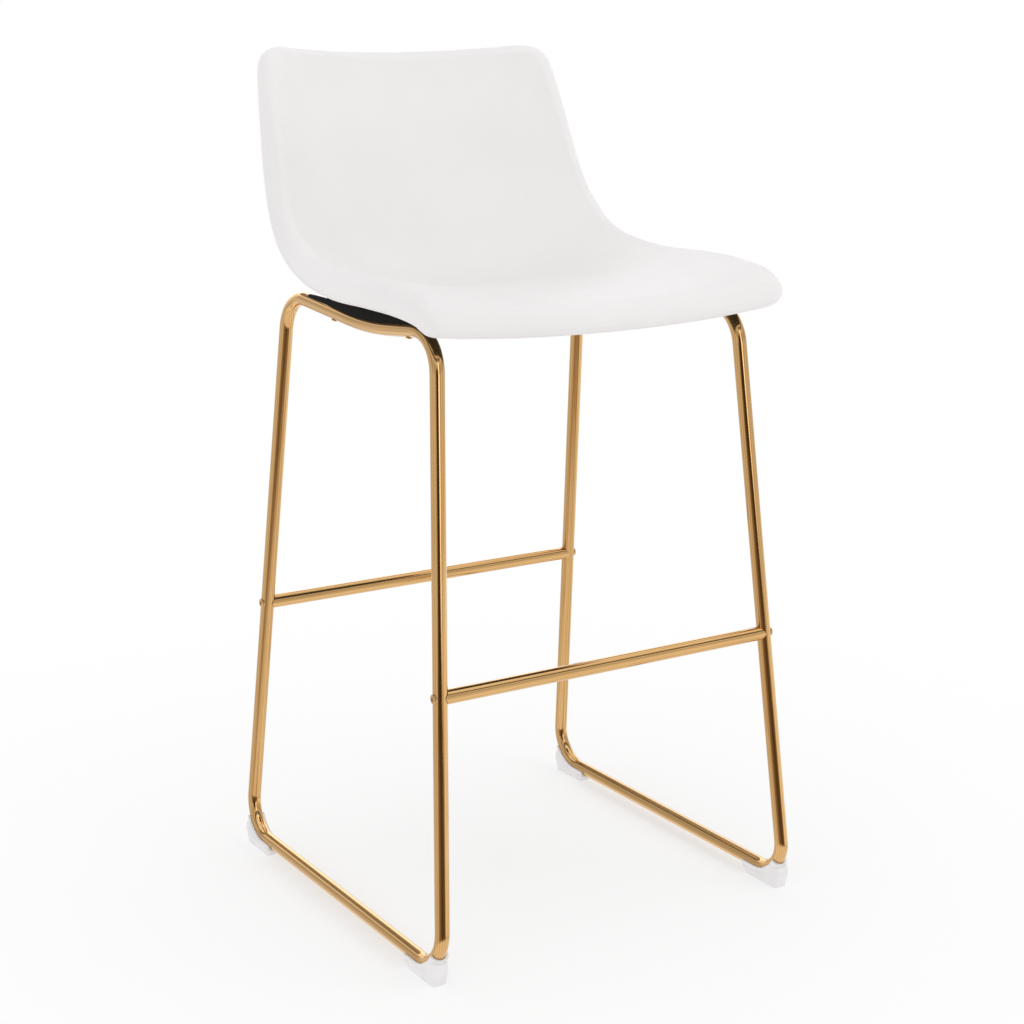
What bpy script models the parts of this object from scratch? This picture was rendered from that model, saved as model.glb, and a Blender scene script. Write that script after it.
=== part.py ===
"""Bar stool: two bent-tube side frames on sled runners, two foot bars and a padded bucket seat.

Metres, +Z up, the sitter faces -Y. Every place below is given in the frame of the base: the floor is z = 0,
and the centre of the four ground contacts is x = y = 0. The base empty then moves the whole stool back by
BASE_SHIFT, so that the origin is under the middle of the stool's box.
"""

from math import cos, pi, sin, sqrt, tan

import bmesh
import bpy
import numpy as np
from mathutils import Matrix, Vector

# Driving dimensions
TUBE_RADIUS = 0.008
TUBE_WALL = 0.0015
GAP = 0.0003
RUNNER_HEIGHT = 0.0155
BASE_HALF_WIDTH = 0.2329
BASE_HALF_DEPTH = 0.2427
BASE_SHIFT = -0.0169

# Corners of a side frame, for the +X side, where its straight lengths would meet
FRONT_FOOT = Vector((BASE_HALF_WIDTH, -BASE_HALF_DEPTH, RUNNER_HEIGHT))
REAR_FOOT = Vector((BASE_HALF_WIDTH, BASE_HALF_DEPTH, RUNNER_HEIGHT))
REAR_SHOULDER = Vector((0.2016, 0.1459, 0.7010))
SADDLE = Vector((0.1970, -0.0450, 0.6810))
FRONT_SHOULDER = Vector((0.1927, -0.1835, 0.6922))
FOOT_BEND = 0.042
SHOULDER_BEND = 0.044
SADDLE_BEND = 0.500

FRONT_BAR_HEIGHT = 0.3132
REAR_BAR_HEIGHT = 0.3189

# M6 fasteners
SHANK_RADIUS = 0.0030
CLEAR_RADIUS = 0.0034
HEAD_RADIUS = 0.0054
HEAD_HEIGHT = 0.0016
SOCKET_RADIUS = 0.0023
SOCKET_DEPTH = 0.0010
HEAD_SEAT = TUBE_RADIUS + 0.0006
SEAT_HEAD_SEAT = TUBE_RADIUS + 0.0009
SEAT_HEAD_RADIUS = 0.0045
SEAT_HEAD_HEIGHT = 0.0020
INSERT_RADIUS = TUBE_RADIUS - TUBE_WALL - GAP
INSERT_LENGTH = 0.018
INSERT_SETBACK = TUBE_RADIUS + 0.0008
INSERT_GRIP = 0.012
FRONT_SEAT_BOLT_Y = -0.130
REAR_SEAT_BOLT_Y = 0.030

# Seat: stations of the middle surface of the padded shell, from the front lip to the top of the back
CENTRE_LINE = (
    (-0.2160, 0.6967),
    (-0.1900, 0.6985),
    (-0.1550, 0.7000),
    (-0.1000, 0.7000),
    (-0.0100, 0.6905),
    (0.0930, 0.6885),
    (0.1580, 0.7180),
    (0.2090, 0.8040),
    (0.2370, 0.8830),
    (0.2670, 0.9550),
)
SIDE_LINE = (
    (0.2165, -0.2163, 0.7070),
    (0.2170, -0.1936, 0.7163),
    (0.2190, -0.1491, 0.7222),
    (0.2205, -0.0895, 0.7244),
    (0.2185, -0.0094, 0.7253),
    (0.2135, 0.0674, 0.7369),
    (0.2085, 0.1272, 0.7663),
    (0.2020, 0.1627, 0.8148),
    (0.1930, 0.1913, 0.8909),
    (0.1819, 0.2179, 0.9645),
)
DISH_POWER = 2.17
FRONT_CORNER = 0.008
BACK_CORNER = 0.019
SEAT_HALF_WIDTH = 0.200
SEAT_HALF_LENGTH = 0.360
ROLL_RADIUS = 0.016
SKIN = 0.0015
BOARD = 0.0082
FOAM_TOP = SKIN + 2 * GAP
BOARD_TOP = 0.0220
FOAM_BOTTOM = BOARD_TOP - 0.0004
FOAM_EDGE = ((0.0065, 0.0046), (0.0108, 0.0092), (0.0115, 0.0150), (0.0105, 0.0190), (0.0080, FOAM_BOTTOM))
BACK_SKIN_TOP = 2 * ROLL_RADIUS - SKIN
SEAM_ANGLE = 172.0
ROLL_ANGLES = (36.0, 72.0, 106.0, 140.0, SEAM_ANGLE)
COVER_SPLIT = 0.475
SEAM_GAP = 0.0004
CLEARANCE_DEPTH = 0.010
COLUMNS = 14
END_ROWS = (0.0, 0.009, 0.026)
ROWS_PER_HALF = 13

# T-nuts in the board, and the rail pads under it
FLANGE_RADIUS = 0.0090
FLANGE_THICKNESS = 0.0014
BARREL_RADIUS = 0.0042
BARREL_LENGTH = 0.0046
PAD_HALF_WIDTH = 0.0065
PAD_PAST_BOLT = 0.0100
PAD_LOW = 0.0040
PAD_TRIM = 0.0020
PAD_STATIONS = 12
PAD_TAIL = ((0.012, 0.0102), (0.045, 0.0090))
SEAT_BOLT_SHORT = 0.0010

# Feet
FOOT_WIDTH = 0.0205
FOOT_BEVEL = 0.0012
FOOT_BEVEL_ANGLE = 50.0
FOOT_SIDE = (
    (0.1786, 0.0),
    (0.2370, 0.0),
    (0.2400, 0.0120),
    (0.2440, 0.0190),
    (0.2484, 0.0275),
    (0.2390, 0.0300),
    (0.2160, 0.0180),
    (0.1950, 0.0120),
    (0.1740, 0.0085),
)

ROUND_SIDES = 12


def clear_scene():
    for obj in list(bpy.data.objects):
        bpy.data.objects.remove(obj, do_unlink=True)


def new_collection(name):
    made = bpy.data.collections.new(name)
    bpy.context.scene.collection.children.link(made)
    return made


def make_material(name, colour, roughness, metallic):
    made = bpy.data.materials.new(name)
    made.use_nodes = True
    shader = made.node_tree.nodes["Principled BSDF"]
    shader.inputs["Base Color"].default_value = (*colour, 1.0)
    shader.inputs["Roughness"].default_value = roughness
    shader.inputs["Metallic"].default_value = metallic
    return made


def place(name, data, group, look=None):
    """Links the data as a named object under the base, or as a hidden helper where it has no look."""
    obj = bpy.data.objects.new(name, data)
    group.objects.link(obj)
    obj.parent = BASE
    if look:
        data.materials.append(look)
    else:
        obj.hide_render = True
        obj.display_type = "WIRE"
    return obj


def mesh_of(name, build):
    """A mesh made by build(bm), with its faces turned outwards."""
    bm = bmesh.new()
    build(bm)
    bmesh.ops.recalc_face_normals(bm, faces=bm.faces)
    mesh = bpy.data.meshes.new(name)
    bm.to_mesh(mesh)
    bm.free()
    return mesh


def smooth(obj, angle=40.0):
    obj.data.shade_smooth()
    obj.data.set_sharp_from_angle(angle=angle * pi / 180)


def evaluated_mesh(obj):
    """The object's mesh with its modifiers applied and its loose seams welded. The object is removed."""
    graph = bpy.context.evaluated_depsgraph_get()
    mesh = bpy.data.meshes.new_from_object(obj.evaluated_get(graph))
    mesh.name = obj.name
    bm = bmesh.new()
    bm.from_mesh(mesh)
    bmesh.ops.remove_doubles(bm, verts=bm.verts, dist=1e-6)
    bmesh.ops.recalc_face_normals(bm, faces=bm.faces)
    bm.to_mesh(mesh)
    bm.free()
    bpy.data.objects.remove(obj, do_unlink=True)
    return mesh


def cut(obj, cutter):
    modifier = obj.modifiers.new(cutter.name, "BOOLEAN")
    modifier.operation = "DIFFERENCE"
    modifier.solver = "EXACT"
    modifier.object = cutter


# ---------------------------------------------------------------- tubes


def fillet(before, corner, after, radius, steps):
    """Points of the arc that rounds a corner of a path."""
    to_before = (before - corner).normalized()
    to_after = (after - corner).normalized()
    angle = to_before.angle(to_after)
    centre = corner + (to_before + to_after).normalized() * radius / sin(angle / 2)
    start = corner + to_before * radius / tan(angle / 2) - centre
    end = corner + to_after * radius / tan(angle / 2) - centre
    sweep = pi - angle
    shares = [step / steps for step in range(steps + 1)]
    return [centre + (start * sin((1 - t) * sweep) + end * sin(t * sweep)) / sin(sweep) for t in shares]


def frame_path(side):
    """The closed centre line of a side frame."""
    corners = [
        (FRONT_FOOT, FOOT_BEND, 6),
        (REAR_FOOT, FOOT_BEND, 6),
        (REAR_SHOULDER, SHOULDER_BEND, 6),
        (SADDLE, SADDLE_BEND, 5),
        (FRONT_SHOULDER, SHOULDER_BEND, 6),
    ]
    path = []
    for index, (corner, radius, steps) in enumerate(corners):
        before = corners[index - 1][0]
        after = corners[(index + 1) % len(corners)][0]
        path += fillet(before, corner, after, radius, steps)
    return [Vector((side * point.x, point.y, point.z)) for point in path]


def tube_mesh(name, path, radius, closed, resolution=4):
    """The mesh of a round rod along a path. A resolution of 4 gives 12 sides, and 2 gives 8."""
    curve = bpy.data.curves.new(name, "CURVE")
    curve.dimensions = "3D"
    curve.bevel_depth = radius
    curve.bevel_resolution = resolution
    curve.use_fill_caps = not closed
    spline = curve.splines.new("POLY")
    spline.points.add(len(path) - 1)
    for point, place_ in zip(spline.points, path):
        point.co = (*place_, 1.0)
    spline.use_cyclic_u = closed
    obj = bpy.data.objects.new(name, curve)
    CUTTERS.objects.link(obj)
    mesh = evaluated_mesh(obj)
    bpy.data.curves.remove(curve)
    return mesh


def rod_cutter(name, start, end, radius, resolution=4):
    return place(name, tube_mesh(name, [start, end], radius, False, resolution), CUTTERS)


def leg_point(corner, shoulder, height):
    """The point of a leg's centre line at this height."""
    share = (height - corner.z) / (shoulder.z - corner.z)
    return corner.lerp(shoulder, share)


def mirrored(point, side):
    return Vector((side * point.x, point.y, point.z))


def side_frame(name, side, holes, look):
    """A closed loop of tube. Its bore opens to the outside through the bolt holes."""
    path = frame_path(side)
    frame = place(name, tube_mesh(name, path, TUBE_RADIUS, True), STOOL, look)
    bore_radius = TUBE_RADIUS - TUBE_WALL
    bore = place(f"{name}_bore", tube_mesh(f"{name}_bore", path, bore_radius, True, 2), CUTTERS)
    cut(frame, bore)
    for number, (start, end) in enumerate(holes):
        cut(frame, rod_cutter(f"{name}_hole_{number}", start, end, CLEAR_RADIUS, 2))
    smooth(frame)


def foot_bar(name, corner, shoulder, height, look):
    """A straight tube between the side frames, its ends shaped round the legs."""
    at = leg_point(corner, shoulder, height)
    ends = [Vector((side * at.x, at.y, at.z)) for side in (-1, 1)]
    bar = place(name, tube_mesh(name, ends, TUBE_RADIUS, False), STOOL, look)
    past = Vector((0.01, 0, 0))
    cut(bar, rod_cutter(f"{name}_bore", ends[0] - past, ends[1] + past, TUBE_RADIUS - TUBE_WALL))
    for side, word in ((-1, "left"), (1, "right")):
        foot, top = mirrored(corner, side), mirrored(shoulder, side)
        cut(bar, rod_cutter(f"{name}_cope_{word}", foot, top, TUBE_RADIUS + GAP, 6))
    smooth(bar)


# ---------------------------------------------------------------- fasteners


def turned(name, profile, closed_profile=False, steps=ROUND_SIDES):
    """The mesh of a turned piece from its (radius, height) profile, listed down its outer side."""

    def build(bm):
        points = [bm.verts.new((radius, 0.0, height)) for radius, height in profile]
        for one, other in zip(points, points[1:]):
            bm.edges.new((one, other))
        if closed_profile:
            bm.edges.new((points[-1], points[0]))

    obj = bpy.data.objects.new(name, mesh_of(name, build))
    CUTTERS.objects.link(obj)
    screw = obj.modifiers.new("Screw", "SCREW")
    screw.steps = steps
    screw.render_steps = steps
    screw.use_merge_vertices = True
    screw.merge_threshold = 1e-5
    return evaluated_mesh(obj)


def bolt_mesh(name, length, head=(HEAD_RADIUS, HEAD_HEIGHT), socket_depth=SOCKET_DEPTH):
    """A button-head bolt with a hex socket. Its head's underside is at z = 0 and its shank runs down."""
    radius, height = head
    profile = [
        (0.0, height),
        (0.55 * radius, 0.88 * height),
        (0.90 * radius, 0.50 * height),
        (radius, 0.0),
        (SHANK_RADIUS, 0.0),
        (SHANK_RADIUS, -length + 0.0008),
        (0.75 * SHANK_RADIUS, -length),
        (0.0, -length),
    ]
    bolt = bpy.data.objects.new(name, turned(name, profile))
    CUTTERS.objects.link(bolt)

    def hex_prism(bm):
        hexagon = {"segments": 6, "radius1": SOCKET_RADIUS, "radius2": SOCKET_RADIUS}
        bmesh.ops.create_cone(bm, cap_ends=True, depth=2 * socket_depth, **hexagon)
        bmesh.ops.translate(bm, verts=bm.verts, vec=(0, 0, height))

    socket = bpy.data.objects.new(f"{name}_socket", mesh_of(f"{name}_socket", hex_prism))
    CUTTERS.objects.link(socket)
    cut(bolt, socket)
    mesh = evaluated_mesh(bolt)
    bpy.data.objects.remove(socket, do_unlink=True)
    return mesh


def ring_profile(outer, inner, low, high):
    return [(outer, high), (outer, low), (inner, low), (inner, high)]


def t_nut_profile():
    """The flange's top is at z = 0 and the barrel hangs below it."""
    shoulder = -FLANGE_THICKNESS
    end = shoulder - BARREL_LENGTH
    outside = [(FLANGE_RADIUS, 0.0), (FLANGE_RADIUS, shoulder), (BARREL_RADIUS, shoulder), (BARREL_RADIUS, end)]
    return outside + [(CLEAR_RADIUS, end), (CLEAR_RADIUS, 0.0)]


def aim(obj, origin, direction):
    """Puts the object's own +Z along a direction, at an origin in the base's frame."""
    turn = Vector((0, 0, 1)).rotation_difference(direction)
    obj.matrix_local = Matrix.Translation(origin) @ turn.to_matrix().to_4x4()


def bar_joint(name, at, side, bolt_data, insert_data, plated, steel):
    """The bolt that holds one end of a foot bar, and the threaded insert in that end."""
    outward = Vector((side, 0, 0))
    bolt = place(f"{name}_bolt", bolt_data.copy(), STOOL, plated)
    aim(bolt, at + outward * HEAD_SEAT, outward)
    smooth(bolt)
    insert = place(f"{name}_insert", insert_data.copy(), STOOL, steel)
    aim(insert, at - outward * INSERT_SETBACK, -outward)
    smooth(insert)


def bar_hole(at, side):
    """The drilling through a leg, from outside it to inside it."""
    reach = Vector((side * 2 * TUBE_RADIUS, 0, 0))
    return at + reach, at - reach


# ---------------------------------------------------------------- seat surface


def catmull_rom(stations, t):
    """The point at t, one unit of t a station, on the smooth curve through the stations."""
    points = np.array(stations, float)
    ends = np.vstack([2 * points[0] - points[1], points, 2 * points[-1] - points[-2]])
    index = np.clip(np.floor(t).astype(int), 0, len(points) - 2)
    f = (t - index)[:, None]
    a, b, c, d = (ends[index + step] for step in range(4))
    return 0.5 * (2 * b + (c - a) * f + (2 * a - 5 * b + 4 * c - d) * f**2 + (3 * b - a - 3 * c + d) * f**3)


def even_stations():
    """Station values at even steps of length along the seat, as a table against v = 0 to 1."""
    t = np.linspace(0, len(CENTRE_LINE) - 1, 201)
    steps = [np.linalg.norm(np.diff(catmull_rom(line, t), axis=0), axis=1) for line in (CENTRE_LINE, SIDE_LINE)]
    length = np.concatenate([[0.0], np.cumsum(steps[0] + steps[1])])
    return length / length[-1], t


def middle_surface(u, v):
    """The padded shell's middle surface: u = -1 to 1 across, v = 0 to 1 from the lip to the top of the back."""
    u, v = np.broadcast_arrays(np.asarray(u, float), np.asarray(v, float))
    t = np.interp(v.ravel(), *STATION_TABLE)
    centre = catmull_rom(CENTRE_LINE, t).reshape(*v.shape, 2)
    edge = catmull_rom(SIDE_LINE, t).reshape(*v.shape, 3)
    rise = np.abs(u) ** DISH_POWER
    y = centre[..., 0] + (edge[..., 1] - centre[..., 0]) * rise
    z = centre[..., 1] + (edge[..., 2] - centre[..., 1]) * rise
    return np.stack([u * edge[..., 0], y, z], axis=-1)


def rounded_corners(u, v):
    """Pulls the corners of the (u, v) square inwards, so that the seat's outline turns each of them in an arc."""
    ends = 2 * v - 1
    pull = (1 - 1 / sqrt(2)) * np.where(ends < 0, FRONT_CORNER, BACK_CORNER)
    across, along = pull / SEAT_HALF_WIDTH, pull / SEAT_HALF_LENGTH
    inner_u = u * (1 - across * np.abs(ends) ** (1 / along))
    inner_ends = ends * (1 - along * np.abs(u) ** (1 / across))
    return inner_u, (inner_ends + 1) / 2


def unit(vectors):
    return vectors / np.linalg.norm(vectors, axis=-1, keepdims=True)


def seat_points(u, v):
    """Points of the middle surface inside its rounded outline, and their normals on the sitter's side."""
    step = 1e-3
    u, v = rounded_corners(*np.broadcast_arrays(np.asarray(u, float), np.asarray(v, float)))
    low_v, high_v = np.clip(v - step, 0, 1), np.clip(v + step, 0, 1)
    across = middle_surface(u + step, v) - middle_surface(u - step, v)
    along = middle_surface(u, high_v) - middle_surface(u, low_v)
    return middle_surface(u, v), unit(np.cross(across, along))


def u_stations():
    """Steps across the seat, closer together towards its sides."""
    even = np.linspace(-1, 1, COLUMNS + 1)
    return even * (1.5 - 0.5 * even**2)


def v_stations(low_split, high_split):
    """Steps along the seat, closer together at its ends, as those up to the split and those from it on."""
    last = 2 * END_ROWS[-1]
    lower = np.concatenate([END_ROWS, np.linspace(last, low_split, ROWS_PER_HALF)])
    upper = np.concatenate([np.linspace(high_split, 1 - last, ROWS_PER_HALF), 1 - np.array(END_ROWS[::-1])])
    return lower, upper


def rim(v_values, front, back):
    """The rim's stations in order, as (row, column, point, normal, outward). It is open at an end left out."""
    point, normal = seat_points(u_stations()[None, :], np.asarray(v_values)[:, None])
    rows, columns = range(len(v_values)), range(COLUMNS + 1)
    right = [(row, COLUMNS) for row in rows]
    left = [(row, 0) for row in reversed(rows)]
    over_top = [(rows[-1], column) for column in reversed(columns[1:-1])]
    over_lip = [(0, column) for column in columns[1:-1]]
    order = right + over_top + left if back else left + over_lip + right
    if front and back:
        order += over_lip
    places = np.array([point[spot] for spot in order])
    normals = np.array([normal[spot] for spot in order])
    before, after = unit(places - np.roll(places, 1, axis=0)), unit(np.roll(places, -1, axis=0) - places)
    if not (front and back):
        before[0], after[-1] = after[0], before[-1]
    outward = unit(np.cross(before + after, normals))
    return [(*spot, *rest) for spot, *rest in zip(order, places, normals, outward)]


def rim_ring(stations, out, depth):
    """One ring of points round the rim, at a distance out from the grid's edge and a depth."""
    return [point + normal * (ROLL_RADIUS - depth) + outward * out for _, _, point, normal, outward in stations]


def seat_grid(depth, v_values):
    """Grid of points at a depth below the sitting surface, rows along v."""
    point, normal = seat_points(u_stations()[None, :], np.asarray(v_values)[:, None])
    return point + normal * (ROLL_RADIUS - depth)


def roll_at(angle, radius=ROLL_RADIUS):
    """(out, depth) on the rim's half-round roll: 0 degrees is on top and 180 is underneath."""
    turn = angle * pi / 180
    return radius * sin(turn), ROLL_RADIUS - radius * cos(turn)


def add_grid(bm, points):
    """Triangles between the points, split the same way in every layer so that the layers nest."""
    rows = [[bm.verts.new(point) for point in row] for row in points]
    for low, high in zip(rows, rows[1:]):
        for i in range(len(low) - 1):
            corners = [low[i], low[i + 1], high[i + 1], high[i]]
            if i < (len(low) - 1) / 2:
                corners = corners[1:] + corners[:1]
            bm.faces.new(corners[:3])
            bm.faces.new((corners[2], corners[3], corners[0]))
    return rows


def add_strip(bm, inner, outer, closed):
    """Faces between two rings of as many points."""
    count = len(inner)
    for i in range(count if closed else count - 1):
        j = (i + 1) % count
        bm.faces.new([inner[i], inner[j], outer[j], outer[i]])


def seat_sheet(v_values, depth, rings, front=True, back=True):
    """An open surface at a depth, carried outwards round the rim through rings of (out, depth)."""
    stations = rim(v_values, front, back)

    def build(bm):
        rows = add_grid(bm, seat_grid(depth, v_values))
        inner = [rows[row][column] for row, column, *_ in stations]
        for out, ring_depth in rings:
            outer = [bm.verts.new(point) for point in rim_ring(stations, out, ring_depth)]
            add_strip(bm, inner, outer, front and back)
            inner = outer

    return build


def facing_sitter(mesh):
    """Turns a sheet's faces so that its first row faces up or forwards, towards the sitter."""
    normal = mesh.polygons[COLUMNS].normal
    if normal.z - normal.y < 0:
        mesh.flip_normals()
    return mesh


def seat_skin(name, v_values, depth, rings, thickness, look, group=None, **ends):
    """A sheet thickened away from the sitter."""
    mesh = facing_sitter(mesh_of(name, seat_sheet(v_values, depth, rings, **ends)))
    skin = place(name, mesh, group or STOOL, look)
    solidify = skin.modifiers.new("Solidify", "SOLIDIFY")
    solidify.thickness = thickness
    solidify.offset = -1
    skin.data.shade_smooth()
    return skin


def foam_pad(v_values, look):
    """The foam: its upper and lower faces joined round a rounded edge."""
    stations = rim(v_values, True, True)

    def build(bm):
        top = add_grid(bm, seat_grid(FOAM_TOP, v_values))
        bottom = add_grid(bm, seat_grid(FOAM_BOTTOM, v_values))
        inner = [top[row][column] for row, column, *_ in stations]
        for out, depth in FOAM_EDGE:
            outer = [bm.verts.new(point) for point in rim_ring(stations, out, depth)]
            add_strip(bm, inner, outer, True)
            inner = outer
        add_strip(bm, inner, [bottom[row][column] for row, column, *_ in stations], True)

    foam = place("seat_foam", mesh_of("seat_foam", build), STOOL, look)
    foam.data.shade_smooth()


def nearest_on_seat(point):
    """The foot of the perpendicular from a point to the middle surface, and the unit direction to it."""
    u_values = np.linspace(-1, 1, 201)
    v_values = np.linspace(0, 1, 401)
    surface = middle_surface(u_values[None, :], v_values[:, None]).reshape(-1, 3)
    nearest = Vector(surface[np.argmin(np.linalg.norm(surface - np.array(point), axis=1))])
    return nearest, (nearest - point).normalized()


def rail_point(side, y):
    """The point of a top rail's centre line at this y."""
    path = frame_path(side)
    top = [point for point in path if point.z > 0.9 * SADDLE.z]
    top.sort(key=lambda point: point.y)
    for one, other in zip(top, top[1:]):
        if one.y <= y <= other.y:
            return one.lerp(other, (y - one.y) / (other.y - one.y))
    raise ValueError("no rail there")


# ---------------------------------------------------------------- assembly


def seat_fixing(name, side, y, board, dust_cover, meshes, looks):
    """A bolt up through the top rail and its pad, and the T-nut let into the board."""
    rail = rail_point(side, y)
    middle, upward = nearest_on_seat(rail)
    reach = (middle - rail).length
    board_top = BOARD_TOP - ROLL_RADIUS

    length = SEAT_HEAD_SEAT + reach - board_top - SEAT_BOLT_SHORT
    head = (SEAT_HEAD_RADIUS, SEAT_HEAD_HEIGHT)
    blank = bolt_mesh(f"{name}_bolt", length, head, 0.6 * SEAT_HEAD_HEIGHT)
    bolt = place(f"{name}_bolt", blank, STOOL, looks["plated"])
    aim(bolt, rail - upward * SEAT_HEAD_SEAT, -upward)
    smooth(bolt)

    nut = place(f"{name}_t_nut", meshes["t_nut"].copy(), STOOL, looks["steel"])
    aim(nut, middle - upward * (board_top + GAP), upward)
    smooth(nut)
    pocket = FLANGE_THICKNESS + 2 * GAP
    pocket_floor = middle - upward * (board_top + pocket)
    cut(board, rod_cutter(f"{name}_pocket", middle, pocket_floor, FLANGE_RADIUS + 2 * GAP))
    cut(board, rod_cutter(f"{name}_barrel", middle, rail, BARREL_RADIUS + 2 * GAP))
    cut(dust_cover, rod_cutter(f"{name}_eyelet", middle, rail, CLEAR_RADIUS))


def rail_pad(word, side, look):
    """A packing strip between a top rail and the shell, with a thin tail behind, drilled for the two bolts."""
    ends = []
    for y in (FRONT_SEAT_BOLT_Y, REAR_SEAT_BOLT_Y):
        rail = rail_point(side, y)
        ends.append((rail, *nearest_on_seat(rail)))
    upward = (ends[0][2] + ends[1][2]).normalized()
    across = upward.cross(Vector((0, 1, 0))).normalized() * PAD_HALF_WIDTH
    first, last = FRONT_SEAT_BOLT_Y - PAD_PAST_BOLT, REAR_SEAT_BOLT_Y + PAD_PAST_BOLT
    top = max((middle - rail).length for rail, middle, _ in ends) - ROLL_RADIUS + 2 * PAD_TRIM

    def build(bm):
        rings = []
        stations = [(first + (last - first) * step / PAD_STATIONS, top) for step in range(PAD_STATIONS + 1)]
        stations += [(last + past, high) for past, high in PAD_TAIL]
        for y, high in stations:
            rail = rail_point(side, y)
            corners = ((-1, PAD_LOW), (1, PAD_LOW), (1, high), (-1, high))
            rings.append([bm.verts.new(rail + across * one + upward * level) for one, level in corners])
        for one, other in zip(rings, rings[1:]):
            add_strip(bm, one, other, True)
        bm.faces.new(rings[0])
        bm.faces.new(rings[-1])

    pad = place(f"seat_rail_pad_{word}", mesh_of(f"seat_rail_pad_{word}", build), STOOL, look)
    cut(pad, bpy.data.objects[f"rail_clearance_{word}"])
    cut(pad, bpy.data.objects["seat_clearance"])
    for number, (rail, middle, _) in enumerate(ends):
        cut(pad, rod_cutter(f"pad_hole_{word}_{number}", rail, middle, CLEAR_RADIUS, 2))
    smooth(pad)


def seat_bolt_hole(side, y):
    rail = rail_point(side, y)
    _, upward = nearest_on_seat(rail)
    reach = upward * 2 * TUBE_RADIUS
    return rail - reach, rail + reach


def foot_glide(name, side, end, look):
    """A moulded glide under a runner's bend: its side outline extruded, bevelled, and grooved for the tube."""
    inset = FOOT_WIDTH / 2

    def build(bm):
        points = [bm.verts.new((-inset, end * y, z)) for y, z in FOOT_SIDE]
        face = bm.faces.new(points)
        sweep = bmesh.ops.extrude_face_region(bm, geom=[face])
        moved = [item for item in sweep["geom"] if isinstance(item, bmesh.types.BMVert)]
        bmesh.ops.translate(bm, verts=moved, vec=(FOOT_WIDTH, 0, 0))

    foot = place(name, mesh_of(name, build), STOOL, look)
    foot.location = (side * BASE_HALF_WIDTH, 0, 0)
    bevel = foot.modifiers.new("Bevel", "BEVEL")
    bevel.width = FOOT_BEVEL
    bevel.segments = 1
    bevel.limit_method = "ANGLE"
    bevel.angle_limit = FOOT_BEVEL_ANGLE * pi / 180
    cut(foot, bpy.data.objects["rail_clearance_" + ("left" if side < 0 else "right")])
    smooth(foot)


def build_frames(looks, meshes):
    sides = ((-1, "left"), (1, "right"))
    bars = (
        ("front", FRONT_FOOT, FRONT_SHOULDER, FRONT_BAR_HEIGHT),
        ("rear", REAR_FOOT, REAR_SHOULDER, REAR_BAR_HEIGHT),
    )
    for side, word in sides:
        holes = [bar_hole(mirrored(leg_point(foot, top, height), side), side) for _, foot, top, height in bars]
        holes += [seat_bolt_hole(side, y) for y in (FRONT_SEAT_BOLT_Y, REAR_SEAT_BOLT_Y)]
        side_frame(f"side_frame_{word}", side, holes, looks["gold"])
        clearance = tube_mesh(f"rail_clearance_{word}", frame_path(side), TUBE_RADIUS + GAP, True)
        place(f"rail_clearance_{word}", clearance, CUTTERS)
        for end, end_word in ((-1, "front"), (1, "rear")):
            foot_glide(f"foot_glide_{end_word}_{word}", side, end, looks["white_plastic"])
    foot_bar("footrest_bar", *bars[0][1:], looks["gold"])
    foot_bar("rear_stretcher", *bars[1][1:], looks["gold"])
    for end_word, foot, top, height in bars:
        for side, word in sides:
            at = mirrored(leg_point(foot, top, height), side)
            name = f"{end_word}_bar_{word}"
            bar_joint(name, at, side, meshes["bar_bolt"], meshes["insert"], looks["plated"], looks["steel"])


def build_seat(looks, meshes):
    lower, upper = v_stations(COVER_SPLIT, COVER_SPLIT)
    whole = np.concatenate([lower, upper[1:]])
    lower, upper = v_stations(COVER_SPLIT - SEAM_GAP, COVER_SPLIT + SEAM_GAP)
    over_rim = [roll_at(angle) for angle in ROLL_ANGLES]
    under_rim = [roll_at(SEAM_ANGLE + 3, ROLL_RADIUS - SKIN)]

    seat_skin("seat_cover", whole, 0.0, over_rim, SKIN, looks["leather"])
    foam_pad(whole, looks["foam"])
    board = seat_skin("seat_shell_board", whole, BOARD_TOP, [], BOARD, looks["plywood"])
    seat_skin("back_cover", upper, BACK_SKIN_TOP, under_rim, SKIN, looks["leather"], front=False)
    dust_cover = seat_skin("dust_cover", lower, BACK_SKIN_TOP, under_rim, SKIN, looks["black_fabric"], back=False)
    cut_above = 2 * ROLL_RADIUS + GAP - CLEARANCE_DEPTH
    seat_skin("seat_clearance", whole, cut_above, [(0.004, cut_above)], CLEARANCE_DEPTH, None, CUTTERS)

    for side, word in ((-1, "left"), (1, "right")):
        for y, end in ((FRONT_SEAT_BOLT_Y, "front"), (REAR_SEAT_BOLT_Y, "rear")):
            seat_fixing(f"seat_{end}_{word}", side, y, board, dust_cover, meshes, looks)
        rail_pad(word, side, looks["black_plastic"])


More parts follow.
